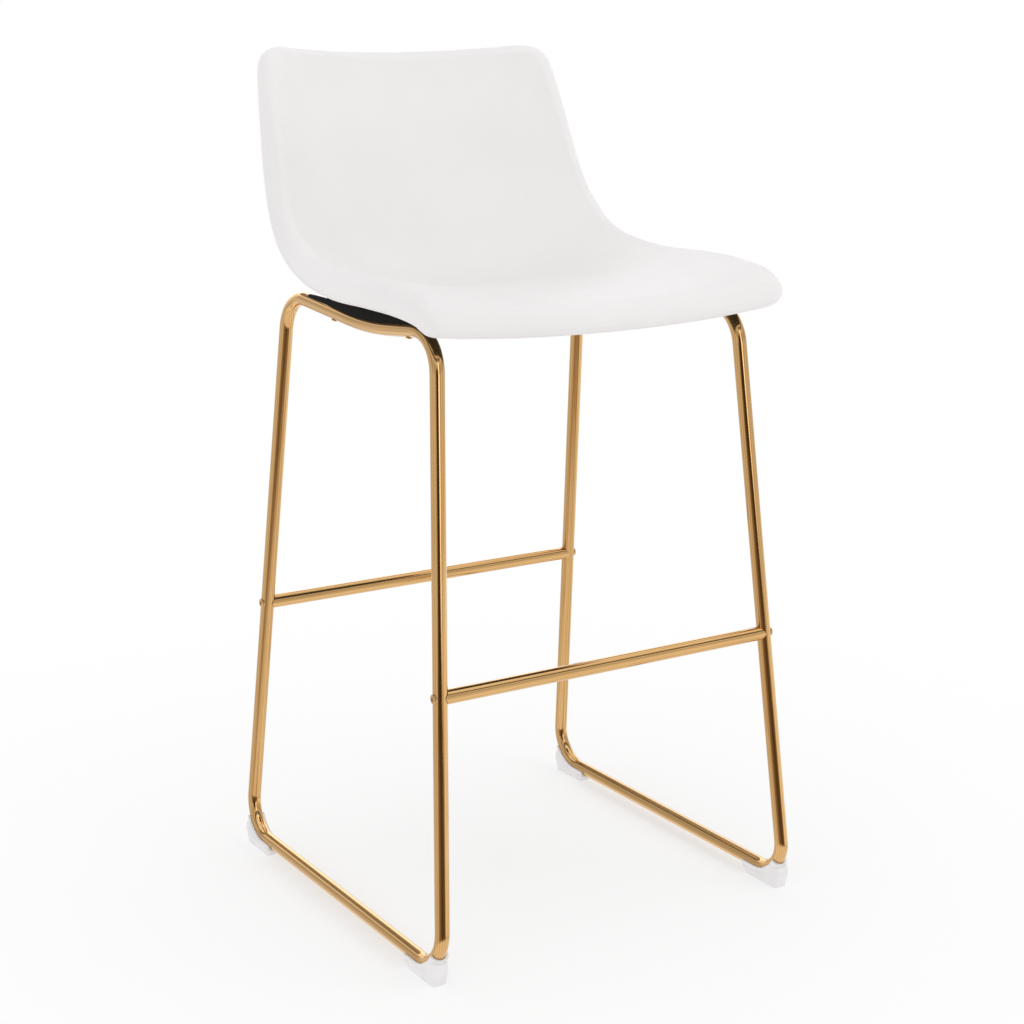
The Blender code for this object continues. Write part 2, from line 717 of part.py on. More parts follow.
def main():
    looks = {
        "gold": make_material("polished_gold", (0.80, 0.55, 0.26), 0.16, 1.0),
        "plated": make_material("gold_bolt", (0.62, 0.44, 0.24), 0.28, 1.0),
        "steel": make_material("zinc_steel", (0.60, 0.61, 0.62), 0.35, 1.0),
        "leather": make_material("white_faux_leather", (0.86, 0.85, 0.83), 0.45, 0.0),
        "foam": make_material("foam", (0.90, 0.84, 0.62), 0.95, 0.0),
        "plywood": make_material("plywood", (0.62, 0.45, 0.28), 0.60, 0.0),
        "black_fabric": make_material("black_dust_cloth", (0.02, 0.02, 0.022), 0.90, 0.0),
        "black_plastic": make_material("black_plastic", (0.03, 0.03, 0.03), 0.50, 0.0),
        "white_plastic": make_material("white_plastic", (0.84, 0.82, 0.82), 0.40, 0.0),
    }
    bar_bolt_length = HEAD_SEAT + INSERT_SETBACK + INSERT_GRIP
    meshes = {
        "bar_bolt": bolt_mesh("bar_bolt", bar_bolt_length),
        "insert": turned("insert", ring_profile(INSERT_RADIUS, CLEAR_RADIUS, 0.0, INSERT_LENGTH), True),
        "t_nut": turned("t_nut", t_nut_profile(), True),
    }
    build_frames(looks, meshes)
    build_seat(looks, meshes)


clear_scene()
STOOL = new_collection("bar_stool")
CUTTERS = new_collection("cutters")
BASE = bpy.data.objects.new("base", None)
STOOL.objects.link(BASE)
BASE.location = (0, BASE_SHIFT, 0)
STATION_TABLE = even_stations()
main()
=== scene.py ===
"""Looks of the bar stool: polished gold tube frame, white feet, white upholstered bucket seat.

Metres, +Z up, the sitter faces -Y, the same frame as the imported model. The side frames, the bars and the seat
repeat the driving dimensions of the part and are drawn here at a finer step.
"""

from math import cos, pi, radians, sin, sqrt, tan

import bmesh
import bpy
import numpy as np
from mathutils import Matrix, Vector


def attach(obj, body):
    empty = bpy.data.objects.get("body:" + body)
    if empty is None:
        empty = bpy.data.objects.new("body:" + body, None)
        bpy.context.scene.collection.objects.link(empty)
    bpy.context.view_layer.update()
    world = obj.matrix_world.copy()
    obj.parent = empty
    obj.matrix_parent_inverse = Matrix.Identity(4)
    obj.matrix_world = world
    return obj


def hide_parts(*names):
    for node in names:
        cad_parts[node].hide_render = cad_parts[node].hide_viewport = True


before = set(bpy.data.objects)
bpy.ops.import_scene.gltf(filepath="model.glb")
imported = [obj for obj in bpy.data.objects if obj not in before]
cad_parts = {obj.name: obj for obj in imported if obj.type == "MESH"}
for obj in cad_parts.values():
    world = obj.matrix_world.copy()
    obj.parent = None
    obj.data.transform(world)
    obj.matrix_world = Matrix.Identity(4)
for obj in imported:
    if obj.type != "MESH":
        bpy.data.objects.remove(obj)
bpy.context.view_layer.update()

# Driving dimensions, as in the part
TUBE_RADIUS = 0.008
TUBE_WALL = 0.0015
GAP = 0.0003
RUNNER_HEIGHT = 0.0155
BASE_HALF_WIDTH = 0.2329
BASE_HALF_DEPTH = 0.2427
BASE_SHIFT = Vector((0, -0.0169, 0))
FRONT_FOOT = Vector((BASE_HALF_WIDTH, -BASE_HALF_DEPTH, RUNNER_HEIGHT))
REAR_FOOT = Vector((BASE_HALF_WIDTH, BASE_HALF_DEPTH, RUNNER_HEIGHT))
REAR_SHOULDER = Vector((0.2016, 0.1459, 0.7010))
SADDLE = Vector((0.1970, -0.0450, 0.6810))
FRONT_SHOULDER = Vector((0.1927, -0.1835, 0.6922))
FOOT_BEND = 0.042
SHOULDER_BEND = 0.044
SADDLE_BEND = 0.500
FRONT_BAR_HEIGHT = 0.3132
REAR_BAR_HEIGHT = 0.3189

# Bolts. Their heads are drawn smaller and closer to the tube than in the part
SHANK_RADIUS = 0.0030
CLEAR_RADIUS = 0.0034
HEAD_RADIUS = 0.0054
HEAD_HEIGHT = 0.0013
SOCKET_RADIUS = 0.0023
SOCKET_DEPTH = 0.0009
HEAD_SEAT = TUBE_RADIUS + 0.0003
SEAT_HEAD_RADIUS = 0.0034
SEAT_HEAD_HEIGHT = 0.0012
SEAT_SOCKET_DEPTH = 0.0008
SEAT_BOLT_SHORT = 0.001
BAR_BOLT_LENGTH = 0.0294
FRONT_SEAT_BOLT_Y = -0.130
REAR_SEAT_BOLT_Y = 0.030

# The padded shell's middle surface, from the lip to the top of the back: (y, z) along its centre line and
# (x, y, z) along its side
CENTRE_LINE = (
    (-0.2160, 0.6967),
    (-0.1900, 0.6985),
    (-0.1550, 0.7000),
    (-0.1000, 0.7000),
    (-0.0100, 0.6905),
    (0.0930, 0.6885),
    (0.1580, 0.7180),
    (0.2090, 0.8040),
    (0.2370, 0.8830),
    (0.2670, 0.9550),
)
SIDE_LINE = (
    (0.2165, -0.2163, 0.7070),
    (0.2170, -0.1936, 0.7163),
    (0.2190, -0.1491, 0.7222),
    (0.2205, -0.0895, 0.7244),
    (0.2185, -0.0094, 0.7253),
    (0.2135, 0.0674, 0.7369),
    (0.2085, 0.1272, 0.7663),
    (0.2020, 0.1627, 0.8148),
    (0.1930, 0.1913, 0.8909),
    (0.1819, 0.2179, 0.9645),
)
DISH_POWER = 2.17
FRONT_CORNER = 0.008
BACK_CORNER = 0.019
SEAT_HALF_WIDTH = 0.200
SEAT_HALF_LENGTH = 0.360
ROLL_RADIUS = 0.016
SKIN = 0.0015
BOARD_TOP = 0.0220
SEAM_ANGLE = 172.0
COVER_SPLIT = 0.475

# How finely this script draws
TUBE_SIDES = 56
BEND_STEPS, SADDLE_STEPS = 26, 18
BOLT_SIDES = 48
COLUMNS = 44
ROWS = 76
ROLL_STEPS = 12


# ---- camera, light and floor

CAMERA_PLACE = Vector((-1.1610, -1.9117, 0.9660))
CAMERA_YAW, CAMERA_PITCH, CAMERA_ROLL = -31.685, -13.270, -0.501
CAMERA_LENS, SENSOR_WIDTH = 68.23, 36.0


def link(obj):
    bpy.context.scene.collection.objects.link(obj)
    return obj


def add_camera():
    yaw, pitch, roll = (radians(angle) for angle in (CAMERA_YAW, CAMERA_PITCH, CAMERA_ROLL))
    right = Vector((cos(yaw), sin(yaw), 0))
    forward = Vector((-sin(yaw) * cos(pitch), cos(yaw) * cos(pitch), sin(pitch)))
    up = right.cross(forward)
    rolled_right = right * cos(roll) + up * sin(roll)
    rolled_up = up * cos(roll) - right * sin(roll)
    data = bpy.data.cameras.new("camera")
    data.lens, data.sensor_width = CAMERA_LENS, SENSOR_WIDTH
    camera = link(bpy.data.objects.new("camera", data))
    turn = Matrix((rolled_right, rolled_up, -forward)).transposed()
    camera.matrix_world = Matrix.Translation(CAMERA_PLACE) @ turn.to_4x4()
    bpy.context.scene.camera = camera


def add_node(tree, kind, inputs=None, **settings):
    """A node whose inputs, by name or by place, are values or other nodes' outputs."""
    made = tree.nodes.new(kind)
    for name, value in settings.items():
        setattr(made, name, value)
    for name, value in (inputs or {}).items():
        if isinstance(value, bpy.types.NodeSocket):
            tree.links.new(value, made.inputs[name])
        else:
            made.inputs[name].default_value = value
    return made


def math_node(tree, operation, *values):
    return add_node(tree, "ShaderNodeMath", dict(enumerate(values)), operation=operation).outputs[0]


def fade(tree, value, low, high):
    """0 below low, 1 above high, smooth between. It falls instead where low is above high."""
    span = {"Value": value, "From Min": low, "From Max": high}
    return add_node(tree, "ShaderNodeMapRange", span, interpolation_type="SMOOTHSTEP").outputs["Result"]


def times(tree, value, *others):
    """The product of numbers and nodes' outputs."""
    for other in others:
        value = math_node(tree, "MULTIPLY", value, other)
    return value


def plus(tree, value, *others):
    """The sum of numbers and nodes' outputs."""
    for other in others:
        value = math_node(tree, "ADD", value, other)
    return value


def left_by(tree, share, depth):
    """What a shade leaves: 1 where its share is 0, and 1 - depth where its share is 1."""
    return math_node(tree, "SUBTRACT", 1.0, times(tree, share, depth))


def band(tree, value, low, high):
    """1 between two fades of one value."""
    return times(tree, fade(tree, value, *low), fade(tree, value, *high))


# What the polished metal sees, by angle in degrees: azimuth from the doorway's middle, growing towards -X,
# and height above the horizon. Each pair is where a fade begins and where it is full.
DOOR_AZIMUTH = 31.0
DOOR_HALF_WIDTHS = ((-25.0, 54.0), (-13.0, 48.0), (-3.0, 20.0), (8.0, 15.0))
DOOR_SIDE, DOOR_FOOT, DOOR_TOP = (5, -7), (-31, -22), (17, 10)
DOOR_DEPTH, DOOR_TINT = 0.92, (1.0, 0.66, 0.34, 1.0)
LOW_DOWN, LOW_DOWN_PALER = (-6, -11), -0.10
LIT_SIDE, LIT_SIDE_PALER = (2, 45), -0.45
STRIP_NEAR, STRIP_FAR, STRIP_FOOT, STRIP_LEVEL = (2, 7), (17, 11), (-12, 4), 2.0
WALL_LEVEL = 0.86
FLOOR_EDGE, FLOOR_LEVEL = (-24, -31), 1.12
SOFTBOX_EDGE, SOFTBOX_LEVEL = (20, 27), 1.10
CEILING_EDGE, CEILING_LEVEL = (40, 47), 1.22
BACK_SIDE, BACK_FOOT, BACK_TOP, BACK_LIGHT = (118, 150), (-2, 8), (50, 34), 1.5
GLOW_SIDE, GLOW_FOOT, GLOW_LEVEL = (-52, -78), (-26, -19), 0.38
WAVER_RATE, WAVER_MIDDLE, WAVER_DEPTH = 0.16, 0.92, 0.15
GAP_FOOT, GAP_TOP, GAP_DEPTH = (25, 32), (47, 40), 0.84
DIM_FOOT, DIM_TOP, DIM_DEPTH = (1, 6), (26, 19), 0.24
ROOM_LIGHT = 1.0
WHITE = (1, 1, 1, 1)


def sky_angles(tree):
    """Azimuth and height of the direction looked in."""
    place = add_node(tree, "ShaderNodeTexCoord").outputs["Generated"]
    x, y, z = add_node(tree, "ShaderNodeSeparateXYZ", {0: place}).outputs
    facing = radians(DOOR_AZIMUTH)
    ahead = plus(tree, times(tree, x, -sin(facing)), times(tree, y, -cos(facing)))
    aside = plus(tree, times(tree, x, -cos(facing)), times(tree, y, sin(facing)))
    degrees_each = 180 / pi
    azimuth = times(tree, math_node(tree, "ARCTAN2", aside, ahead), degrees_each)
    return azimuth, times(tree, math_node(tree, "ARCSINE", z), degrees_each)


def door_half_width(tree, height):
    width = DOOR_HALF_WIDTHS[0][1]
    for (low, low_width), (high, high_width) in zip(DOOR_HALF_WIDTHS, DOOR_HALF_WIDTHS[1:]):
        width = plus(tree, width, times(tree, fade(tree, height, low, high), high_width - low_width))
    return width


def doorway(tree, azimuth, height, width, low_down):
    """1 in the dark doorway, paler low down and most of all on its -X side there."""
    past_side = math_node(tree, "SUBTRACT", math_node(tree, "ABSOLUTE", azimuth), width)
    inside = times(tree, fade(tree, past_side, *DOOR_SIDE), fade(tree, height, *DOOR_FOOT))
    inside = times(tree, inside, fade(tree, height, *DOOR_TOP))
    lit_side = times(tree, fade(tree, azimuth, *LIT_SIDE), times(tree, low_down, LIT_SIDE_PALER))
    paler = plus(tree, lit_side, times(tree, low_down, LOW_DOWN_PALER))
    return times(tree, inside, plus(tree, 1.0, paler))


def bright_parts(tree, azimuth, height, width, low_down):
    """Walls, floor, softbox, ceiling, light strip, the light behind the stool and a glow low at one side."""
    past_door = math_node(tree, "SUBTRACT", times(tree, azimuth, -1.0), width)
    strip = times(tree, band(tree, past_door, STRIP_NEAR, STRIP_FAR), fade(tree, height, *STRIP_FOOT))
    behind = fade(tree, math_node(tree, "ABSOLUTE", azimuth), *BACK_SIDE)
    behind = times(tree, behind, fade(tree, height, *BACK_FOOT), fade(tree, height, *BACK_TOP))
    glow = times(tree, fade(tree, azimuth, *GLOW_SIDE), times(tree, low_down, GLOW_LEVEL))
    level = plus(
        tree,
        WALL_LEVEL,
        times(tree, fade(tree, height, *FLOOR_EDGE), FLOOR_LEVEL - WALL_LEVEL),
        times(tree, fade(tree, height, *SOFTBOX_EDGE), SOFTBOX_LEVEL - WALL_LEVEL),
        times(tree, fade(tree, height, *CEILING_EDGE), CEILING_LEVEL - SOFTBOX_LEVEL),
        times(tree, strip, STRIP_LEVEL),
        times(tree, behind, BACK_LIGHT),
        times(tree, glow, fade(tree, height, *GLOW_FOOT)),
    )
    waver = math_node(tree, "SINE", times(tree, azimuth, WAVER_RATE))
    return times(tree, level, plus(tree, WAVER_MIDDLE, times(tree, waver, WAVER_DEPTH)))


def mixed_shader(tree, factor, off, on):
    return add_node(tree, "ShaderNodeMixShader", {0: factor, 1: off, 2: on}).outputs[0]


def add_world():
    """A white room. Polished metal sees the rest: a dark doorway behind the camera, a light strip beside it,
    pale walls, a softbox above and a bright ceiling, with a dark line between the last two."""
    world = bpy.data.worlds.new("studio")
    bpy.context.scene.world = world
    world.use_nodes = True
    tree = world.node_tree
    tree.nodes.clear()
    azimuth, height = sky_angles(tree)
    width = door_half_width(tree, height)
    low_down = fade(tree, height, *LOW_DOWN)
    in_door = doorway(tree, azimuth, height, width, low_down)
    gap = left_by(tree, band(tree, height, GAP_FOOT, GAP_TOP), GAP_DEPTH)
    dim = left_by(tree, band(tree, height, DIM_FOOT, DIM_TOP), DIM_DEPTH)
    shade = times(tree, gap, dim, left_by(tree, in_door, DOOR_DEPTH))
    level = times(tree, bright_parts(tree, azimuth, height, width, low_down), shade)

    tint = add_node(tree, "ShaderNodeMix", {"Factor": in_door, "A": WHITE, "B": DOOR_TINT}, data_type="RGBA")
    room = add_node(tree, "ShaderNodeBackground", {"Color": tint.outputs["Result"], "Strength": level})
    white = add_node(tree, "ShaderNodeBackground", {"Color": WHITE, "Strength": ROOM_LIGHT})
    backdrop = add_node(tree, "ShaderNodeBackground", {"Color": WHITE, "Strength": 1.0})
    path = add_node(tree, "ShaderNodeLightPath").outputs
    lighting = mixed_shader(tree, path["Is Glossy Ray"], white.outputs[0], room.outputs[0])
    seen = mixed_shader(tree, path["Is Camera Ray"], lighting, backdrop.outputs[0])
    add_node(tree, "ShaderNodeOutputWorld", {"Surface": seen})


FLOOR_HALF_SIDE, FLOOR_HEIGHT = 40.0, -0.0002
FLOOR_FADE = (-0.9, 1.5)


def add_floor():
    """White paper that turns into pure white light away from the stool, so that it has no visible edge."""
    mesh = bpy.data.meshes.new("floor")
    corners = ((-1, -1), (1, -1), (1, 1), (-1, 1))
    points = [(x * FLOOR_HALF_SIDE, y * FLOOR_HALF_SIDE, FLOOR_HEIGHT) for x, y in corners]
    mesh.from_pydata(points, [], [(0, 1, 2, 3)])
    floor = link(bpy.data.objects.new("floor", mesh))
    matte = {"Base Color": (0.94, 0.94, 0.94, 1), "Roughness": 1.0, "Specular IOR Level": 0.0}
    material, tree, _ = new_look("floor_paper", matte)
    place = add_node(tree, "ShaderNodeTexCoord").outputs["Object"]
    reach = add_node(tree, "ShaderNodeVectorMath", {0: place}, operation="LENGTH")
    light = add_node(tree, "ShaderNodeEmission", {"Strength": 1.0})
    away = fade(tree, reach.outputs["Value"], *FLOOR_FADE)
    paper = mixed_shader(tree, away, tree.nodes["Principled BSDF"].outputs[0], light.outputs[0])
    # Clear from below, so that the underside of the stool can be looked at
    clear = add_node(tree, "ShaderNodeBsdfTransparent")
    facing = add_node(tree, "ShaderNodeNewGeometry")
    seen = mixed_shader(tree, facing.outputs["Backfacing"], paper, clear.outputs[0])
    tree.links.new(seen, tree.nodes["Material Output"].inputs["Surface"])
    mesh.materials.append(material)
    floor.visible_glossy = False


KEY_PLACE, KEY_TARGET = Vector((1.8, -2.4, 2.8)), Vector((0, 0, 0.7))
KEY_SIZE, KEY_POWER = 1.4, 9


def add_key_light():
    """A soft lamp in front, at the +X side, that doesn't show in the metal."""
    data = bpy.data.lights.new("key", "AREA")
    data.shape = "RECTANGLE"
    data.size, data.size_y = KEY_SIZE, KEY_SIZE
    data.energy = KEY_POWER
    key = link(bpy.data.objects.new("key", data))
    turn = (KEY_TARGET - KEY_PLACE).to_track_quat("-Z", "Y").to_matrix().to_4x4()
    key.matrix_world = Matrix.Translation(KEY_PLACE) @ turn
    key.visible_glossy = False


def add_studio():
    add_camera()
    add_world()
    add_floor()
    add_key_light()
    view = bpy.context.scene.view_settings
    view.view_transform = "Standard"
    view.look = "None"


# ---- materials


def new_look(name, settings):
    """A material, its node tree and its shader's inputs, with these settings."""
    material = bpy.data.materials.new(name)
    material.use_nodes = True
    tree = material.node_tree
    inputs = tree.nodes["Principled BSDF"].inputs
    for key, value in settings.items():
        inputs[key].default_value = value
    return material, tree, inputs


def ramp(tree, value, low, high, socket, start=0.3, end=0.7):
    """Feeds a socket with a colour that goes from low to high as the value goes from start to end."""
    made = add_node(tree, "ShaderNodeValToRGB", {0: value})
    for element, position, colour in zip(made.color_ramp.elements, (start, end), (low, high)):
        element.position = position
        element.color = (*colour, 1)
    tree.links.new(made.outputs[0], socket)


def grey(level):
    return (level, level, level)


def object_space(tree, stretch=(1, 1, 1)):
    place = add_node(tree, "ShaderNodeTexCoord").outputs["Object"]
    return add_node(tree, "ShaderNodeMapping", {"Vector": place, "Scale": stretch}).outputs[0]


def noise(tree, space, scale, detail=3.0, roughness=0.55):
    pattern = {"Vector": space, "Scale": scale, "Detail": detail, "Roughness": roughness}
    return add_node(tree, "ShaderNodeTexNoise", pattern).outputs["Fac"]


def bump(tree, height, strength, distance, before=None):
    relief = {"Height": height, "Strength": strength, "Distance": distance}
    if before:
        relief["Normal"] = before
    return add_node(tree, "ShaderNodeBump", relief).outputs[0]


def gold(name, light, deep, roughness, scratch):
    """Brass-plated steel, polished: a little cloudiness and fine hairlines along and round the tube."""
    material, tree, inputs = new_look(name, {"Metallic": 1.0, "Coat Weight": 0.2, "Coat Roughness": 0.06})
    ramp(tree, noise(tree, object_space(tree), 9.0, 4.0), deep, light, inputs["Base Color"])
    smear = noise(tree, object_space(tree, (1, 1, 0.15)), 160.0, 5.0)
    ramp(tree, smear, grey(roughness * 0.75), grey(roughness * 1.4), inputs["Roughness"], end=0.75)
    hairline = noise(tree, object_space(tree, (1, 1, 0.03)), 2600.0, 2.0)
    ripple = noise(tree, object_space(tree), 38.0, 2.0)
    first = bump(tree, ripple, 0.015, 0.0008)
    tree.links.new(bump(tree, hairline, scratch, 0.00002, first), inputs["Normal"])
    return material


LEATHER_GRAIN, LEATHER_RELIEF = 0.0011, 0.35


def faux_leather(name, light, shade):
    """Embossed vinyl: rounded pebbles of grain about a millimetre across, over a soft unevenness."""
    surface = {"Specular IOR Level": 0.42, "Sheen Weight": 0.06, "Sheen Roughness": 0.4}
    material, tree, inputs = new_look(name, surface)
    space = object_space(tree)
    warp = add_node(tree, "ShaderNodeTexNoise", {"Vector": space, "Scale": 420.0, "Detail": 2.0})
    moved = {"Factor": 0.0012, "A": space, "B": warp.outputs["Color"]}
    shift = add_node(tree, "ShaderNodeMix", moved, data_type="VECTOR")
    grain = {"Vector": shift.outputs["Result"], "Scale": 1 / LEATHER_GRAIN}
    pebbles = add_node(tree, "ShaderNodeTexVoronoi", grain, feature="SMOOTH_F1").outputs["Distance"]
    mixed = add_node(tree, "ShaderNodeMix", {"Factor": 0.5}, data_type="RGBA")
    ramp(tree, pebbles, light, shade, mixed.inputs["A"], 0.25, 0.95)
    ramp(tree, noise(tree, space, 6.0, 3.0), shade, light, mixed.inputs["B"], 0.35, 0.65)
    tree.links.new(mixed.outputs["Result"], inputs["Base Color"])
    ramp(tree, noise(tree, space, 70.0, 4.0), grey(0.44), grey(0.60), inputs["Roughness"])
    soft = bump(tree, noise(tree, space, 24.0, 3.0), 0.10, 0.0008)
    cells = bump(tree, pebbles, LEATHER_RELIEF, 0.00022, soft)
    pits = noise(tree, space, 1500.0, 3.0)
    tree.links.new(bump(tree, pits, LEATHER_RELIEF / 2, 0.00006, cells), inputs["Normal"])
    return material


THREAD_WIDTH = 0.0009


def woven(name, light, dark):
    """A plain spunbond or woven cloth: crossed waves of thread, dusty and matte."""
    material, tree, inputs = new_look(name, {"Sheen Weight": 0.15})
    space = object_space(tree)
    wave = {"Vector": space, "Scale": 1 / THREAD_WIDTH / 2 / pi, "Distortion": 0.6}
    wave |= {"Detail": 1.0, "Detail Scale": 2.0}
    waves = [add_node(tree, "ShaderNodeTexWave", wave, bands_direction=axis).outputs["Fac"] for axis in "XY"]
    fluff = noise(tree, space, 900.0, 5.0)
    ramp(tree, fluff, dark, light, inputs["Base Color"], end=0.8)
    ramp(tree, fluff, grey(0.82), grey(0.98), inputs["Roughness"], 0.2, 0.8)
    first = bump(tree, times(tree, *waves), 0.5, 0.0002)
    tree.links.new(bump(tree, fluff, 0.4, 0.0001, first), inputs["Normal"])
    return material


def moulded(name, light, dark, roughness, specular=0.5):
    """Moulded plastic: a fine spark-eroded texture and slight flow marks."""
    material, tree, inputs = new_look(name, {"Specular IOR Level": specular})
    space = object_space(tree)
    ramp(tree, noise(tree, space, 45.0, 3.0), dark, light, inputs["Base Color"])
    grain = noise(tree, space, 2600.0, 3.0)
    ramp(tree, grain, grey(roughness * 0.85), grey(roughness * 1.15), inputs["Roughness"])
    tree.links.new(bump(tree, grain, 0.15, 0.00006), inputs["Normal"])
    return material


def plated_steel(name, light, dark, roughness):
    material, tree, inputs = new_look(name, {"Metallic": 1.0})
    space = object_space(tree)
    patches = noise(tree, space, 240.0, 4.0)
    ramp(tree, patches, dark, light, inputs["Base Color"])
    ramp(tree, patches, grey(roughness * 0.8), grey(roughness * 1.3), inputs["Roughness"])
    tree.links.new(bump(tree, noise(tree, space, 3000.0), 0.1, 0.00004), inputs["Normal"])
    return material


def wood(name, light, dark):
    material, tree, inputs = new_look(name, {"Roughness": 0.65})
    grain = noise(tree, object_space(tree, (1, 12, 12)), 30.0, 6.0)
    ramp(tree, grain, dark, light, inputs["Base Color"])
    tree.links.new(bump(tree, grain, 0.3, 0.0002), inputs["Normal"])
    return material


# The look of each material slot, and of the thread
LOOKS = {
    "polished_gold": gold("look_gold", (0.70, 0.425, 0.175), (0.65, 0.385, 0.150), 0.11, 0.03),
    "gold_bolt": gold("look_gold_bolt", (0.68, 0.43, 0.20), (0.58, 0.36, 0.16), 0.20, 0.2),
    "zinc_steel": plated_steel("look_zinc", (0.66, 0.67, 0.69), (0.48, 0.49, 0.51), 0.34),
    "white_faux_leather": faux_leather("look_white_leather", (0.845, 0.822, 0.823), (0.795, 0.772, 0.773)),
    "stitch_thread": moulded("look_thread", (0.84, 0.83, 0.81), (0.76, 0.75, 0.73), 0.6),
    "black_dust_cloth": woven("look_dust_cloth", (0.052, 0.050, 0.050), (0.030, 0.029, 0.029)),
    "black_plastic": moulded("look_black_plastic", (0.010, 0.009, 0.008), (0.006, 0.005, 0.005), 0.62, 0.10),
    "white_plastic": moulded("look_white_plastic", (0.84, 0.82, 0.825), (0.79, 0.77, 0.775), 0.36),
    "foam": moulded("look_foam", (0.88, 0.82, 0.60), (0.80, 0.72, 0.50), 0.95, 0.1),
    "plywood": wood("look_plywood", (0.66, 0.49, 0.31), (0.47, 0.32, 0.18)),
}


# ---- making pieces


def piece(name, mesh, slot, *stands_for, look=None, smooth_angle=40.0):
    """Links a mesh as a piece that rides on the stool's one body."""
    obj = link(bpy.data.objects.new(name, mesh))
    mesh.materials.clear()
    mesh.materials.append(LOOKS[look or slot])
    mesh.shade_smooth()
    mesh.set_sharp_from_angle(angle=radians(smooth_angle))
    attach(obj, "root")
    if stands_for:
        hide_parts(*stands_for)
    return obj


def mesh_from(name, points, faces):
    """A closed mesh of the points, in the base's frame, and faces, turned outwards."""
    mesh = bpy.data.meshes.new(name)
    mesh.from_pydata([tuple(Vector(point) + BASE_SHIFT) for point in points], [], faces)
    bm = bmesh.new()
    bm.from_mesh(mesh)
    bmesh.ops.recalc_face_normals(bm, faces=bm.faces)
    bm.to_mesh(mesh)
    bm.free()
    return mesh


def joined(parts):
    """Several (points, faces) made one."""
    points, faces = [], []
    for more_points, more_faces in parts:
        start = len(points)
        points += [tuple(point) for point in more_points]
        faces += [tuple(start + index for index in face) for face in more_faces]
    return points, faces


def loft(rings, closed=False, capped=False):
    """Faces between rings of as many points each."""
    count = len(rings[0])
    points = [point for ring in rings for point in ring]
    faces = []
    turns = len(rings) if closed else len(rings) - 1
    for step in range(turns):
        one, other = step * count, (step + 1) % len(rings) * count
        for side in range(count):
            after = (side + 1) % count
            faces.append((one + side, one + after, other + after, other + side))
    if capped:
        faces.append(tuple(reversed(range(count))))
        faces.append(tuple((len(rings) - 1) * count + index for index in range(count)))
    return points, faces


def carried_frames(path, closed):
    """Two unit vectors across the path at each of its points, turning as little as they can along it."""
    count = len(path)
    tangents = []
    for index in range(count):
        if closed:
            tangents.append((path[(index + 1) % count] - path[index - 1]).normalized())
        else:
            one, other = path[max(index - 1, 0)], path[min(index + 1, count - 1)]
            tangents.append((other - one).normalized())
    across = tangents[0].orthogonal().normalized()
    frames = []
    for before, tangent in zip([tangents[0], *tangents], tangents):
        across = before.rotation_difference(tangent) @ across
        across = (across - tangent * across.dot(tangent)).normalized()
        frames.append((tangent, across, tangent.cross(across)))
    if closed:
        back = frames[-1][0].rotation_difference(frames[0][0]) @ frames[-1][1]
        slip = back.angle(frames[0][1])
        if back.cross(frames[0][1]).dot(frames[0][0]) < 0:
            slip = -slip
        turned = []
        for index, (tangent, one, other) in enumerate(frames):
            share = slip * index / count
            first, second = one * cos(share) + other * sin(share), other * cos(share) - one * sin(share)
            turned.append((tangent, first, second))
        frames = turned
    return frames


def swept(path, section, closed=False):
    """A section, given as (across, over) offsets, carried along a path."""
    rings = []
    for point, (_, one, other) in zip(path, carried_frames(path, closed)):
        rings.append([point + one * a + other * b for a, b in section])
    return loft(rings, closed)


def circle(radius, sides=TUBE_SIDES):
    return [(radius * cos(2 * pi * i / sides), radius * sin(2 * pi * i / sides)) for i in range(sides)]


# ---- tube frame


def fillet(before, corner, after, radius, steps):
    """Points of the arc that rounds a corner of a path."""
    to_before = (before - corner).normalized()
    to_after = (after - corner).normalized()
    angle = to_before.angle(to_after)
    centre = corner + (to_before + to_after).normalized() * radius / sin(angle / 2)
    start = corner + to_before * radius / tan(angle / 2) - centre
    end = corner + to_after * radius / tan(angle / 2) - centre
    sweep = pi - angle
    shares = [step / steps for step in range(steps + 1)]
    return [centre + (start * sin((1 - t) * sweep) + end * sin(t * sweep)) / sin(sweep) for t in shares]


def frame_path(side):
    """The closed centre line of a side frame."""
    corners = [
        (FRONT_FOOT, FOOT_BEND, BEND_STEPS),
        (REAR_FOOT, FOOT_BEND, BEND_STEPS),
        (REAR_SHOULDER, SHOULDER_BEND, BEND_STEPS),
        (SADDLE, SADDLE_BEND, SADDLE_STEPS),
        (FRONT_SHOULDER, SHOULDER_BEND, BEND_STEPS),
    ]
    path = []
    for index, (corner, radius, steps) in enumerate(corners):
        before = corners[index - 1][0]
        after = corners[(index + 1) % len(corners)][0]
        path += fillet(before, corner, after, radius, steps)
    return [mirrored(point, side) for point in path]


def mirrored(point, side):
    return Vector((side * point.x, point.y, point.z))


def leg_point(corner, shoulder, height):
    """The point of a leg's centre line at this height."""
    share = (height - corner.z) / (shoulder.z - corner.z)
    return corner.lerp(shoulder, share)


def side_frame(word, side):
    name = f"frame_tube_{word}"
    tube = swept(frame_path(side), circle(TUBE_RADIUS), closed=True)
    piece(name, mesh_from(name, *tube), "polished_gold", f"side_frame_{word}")


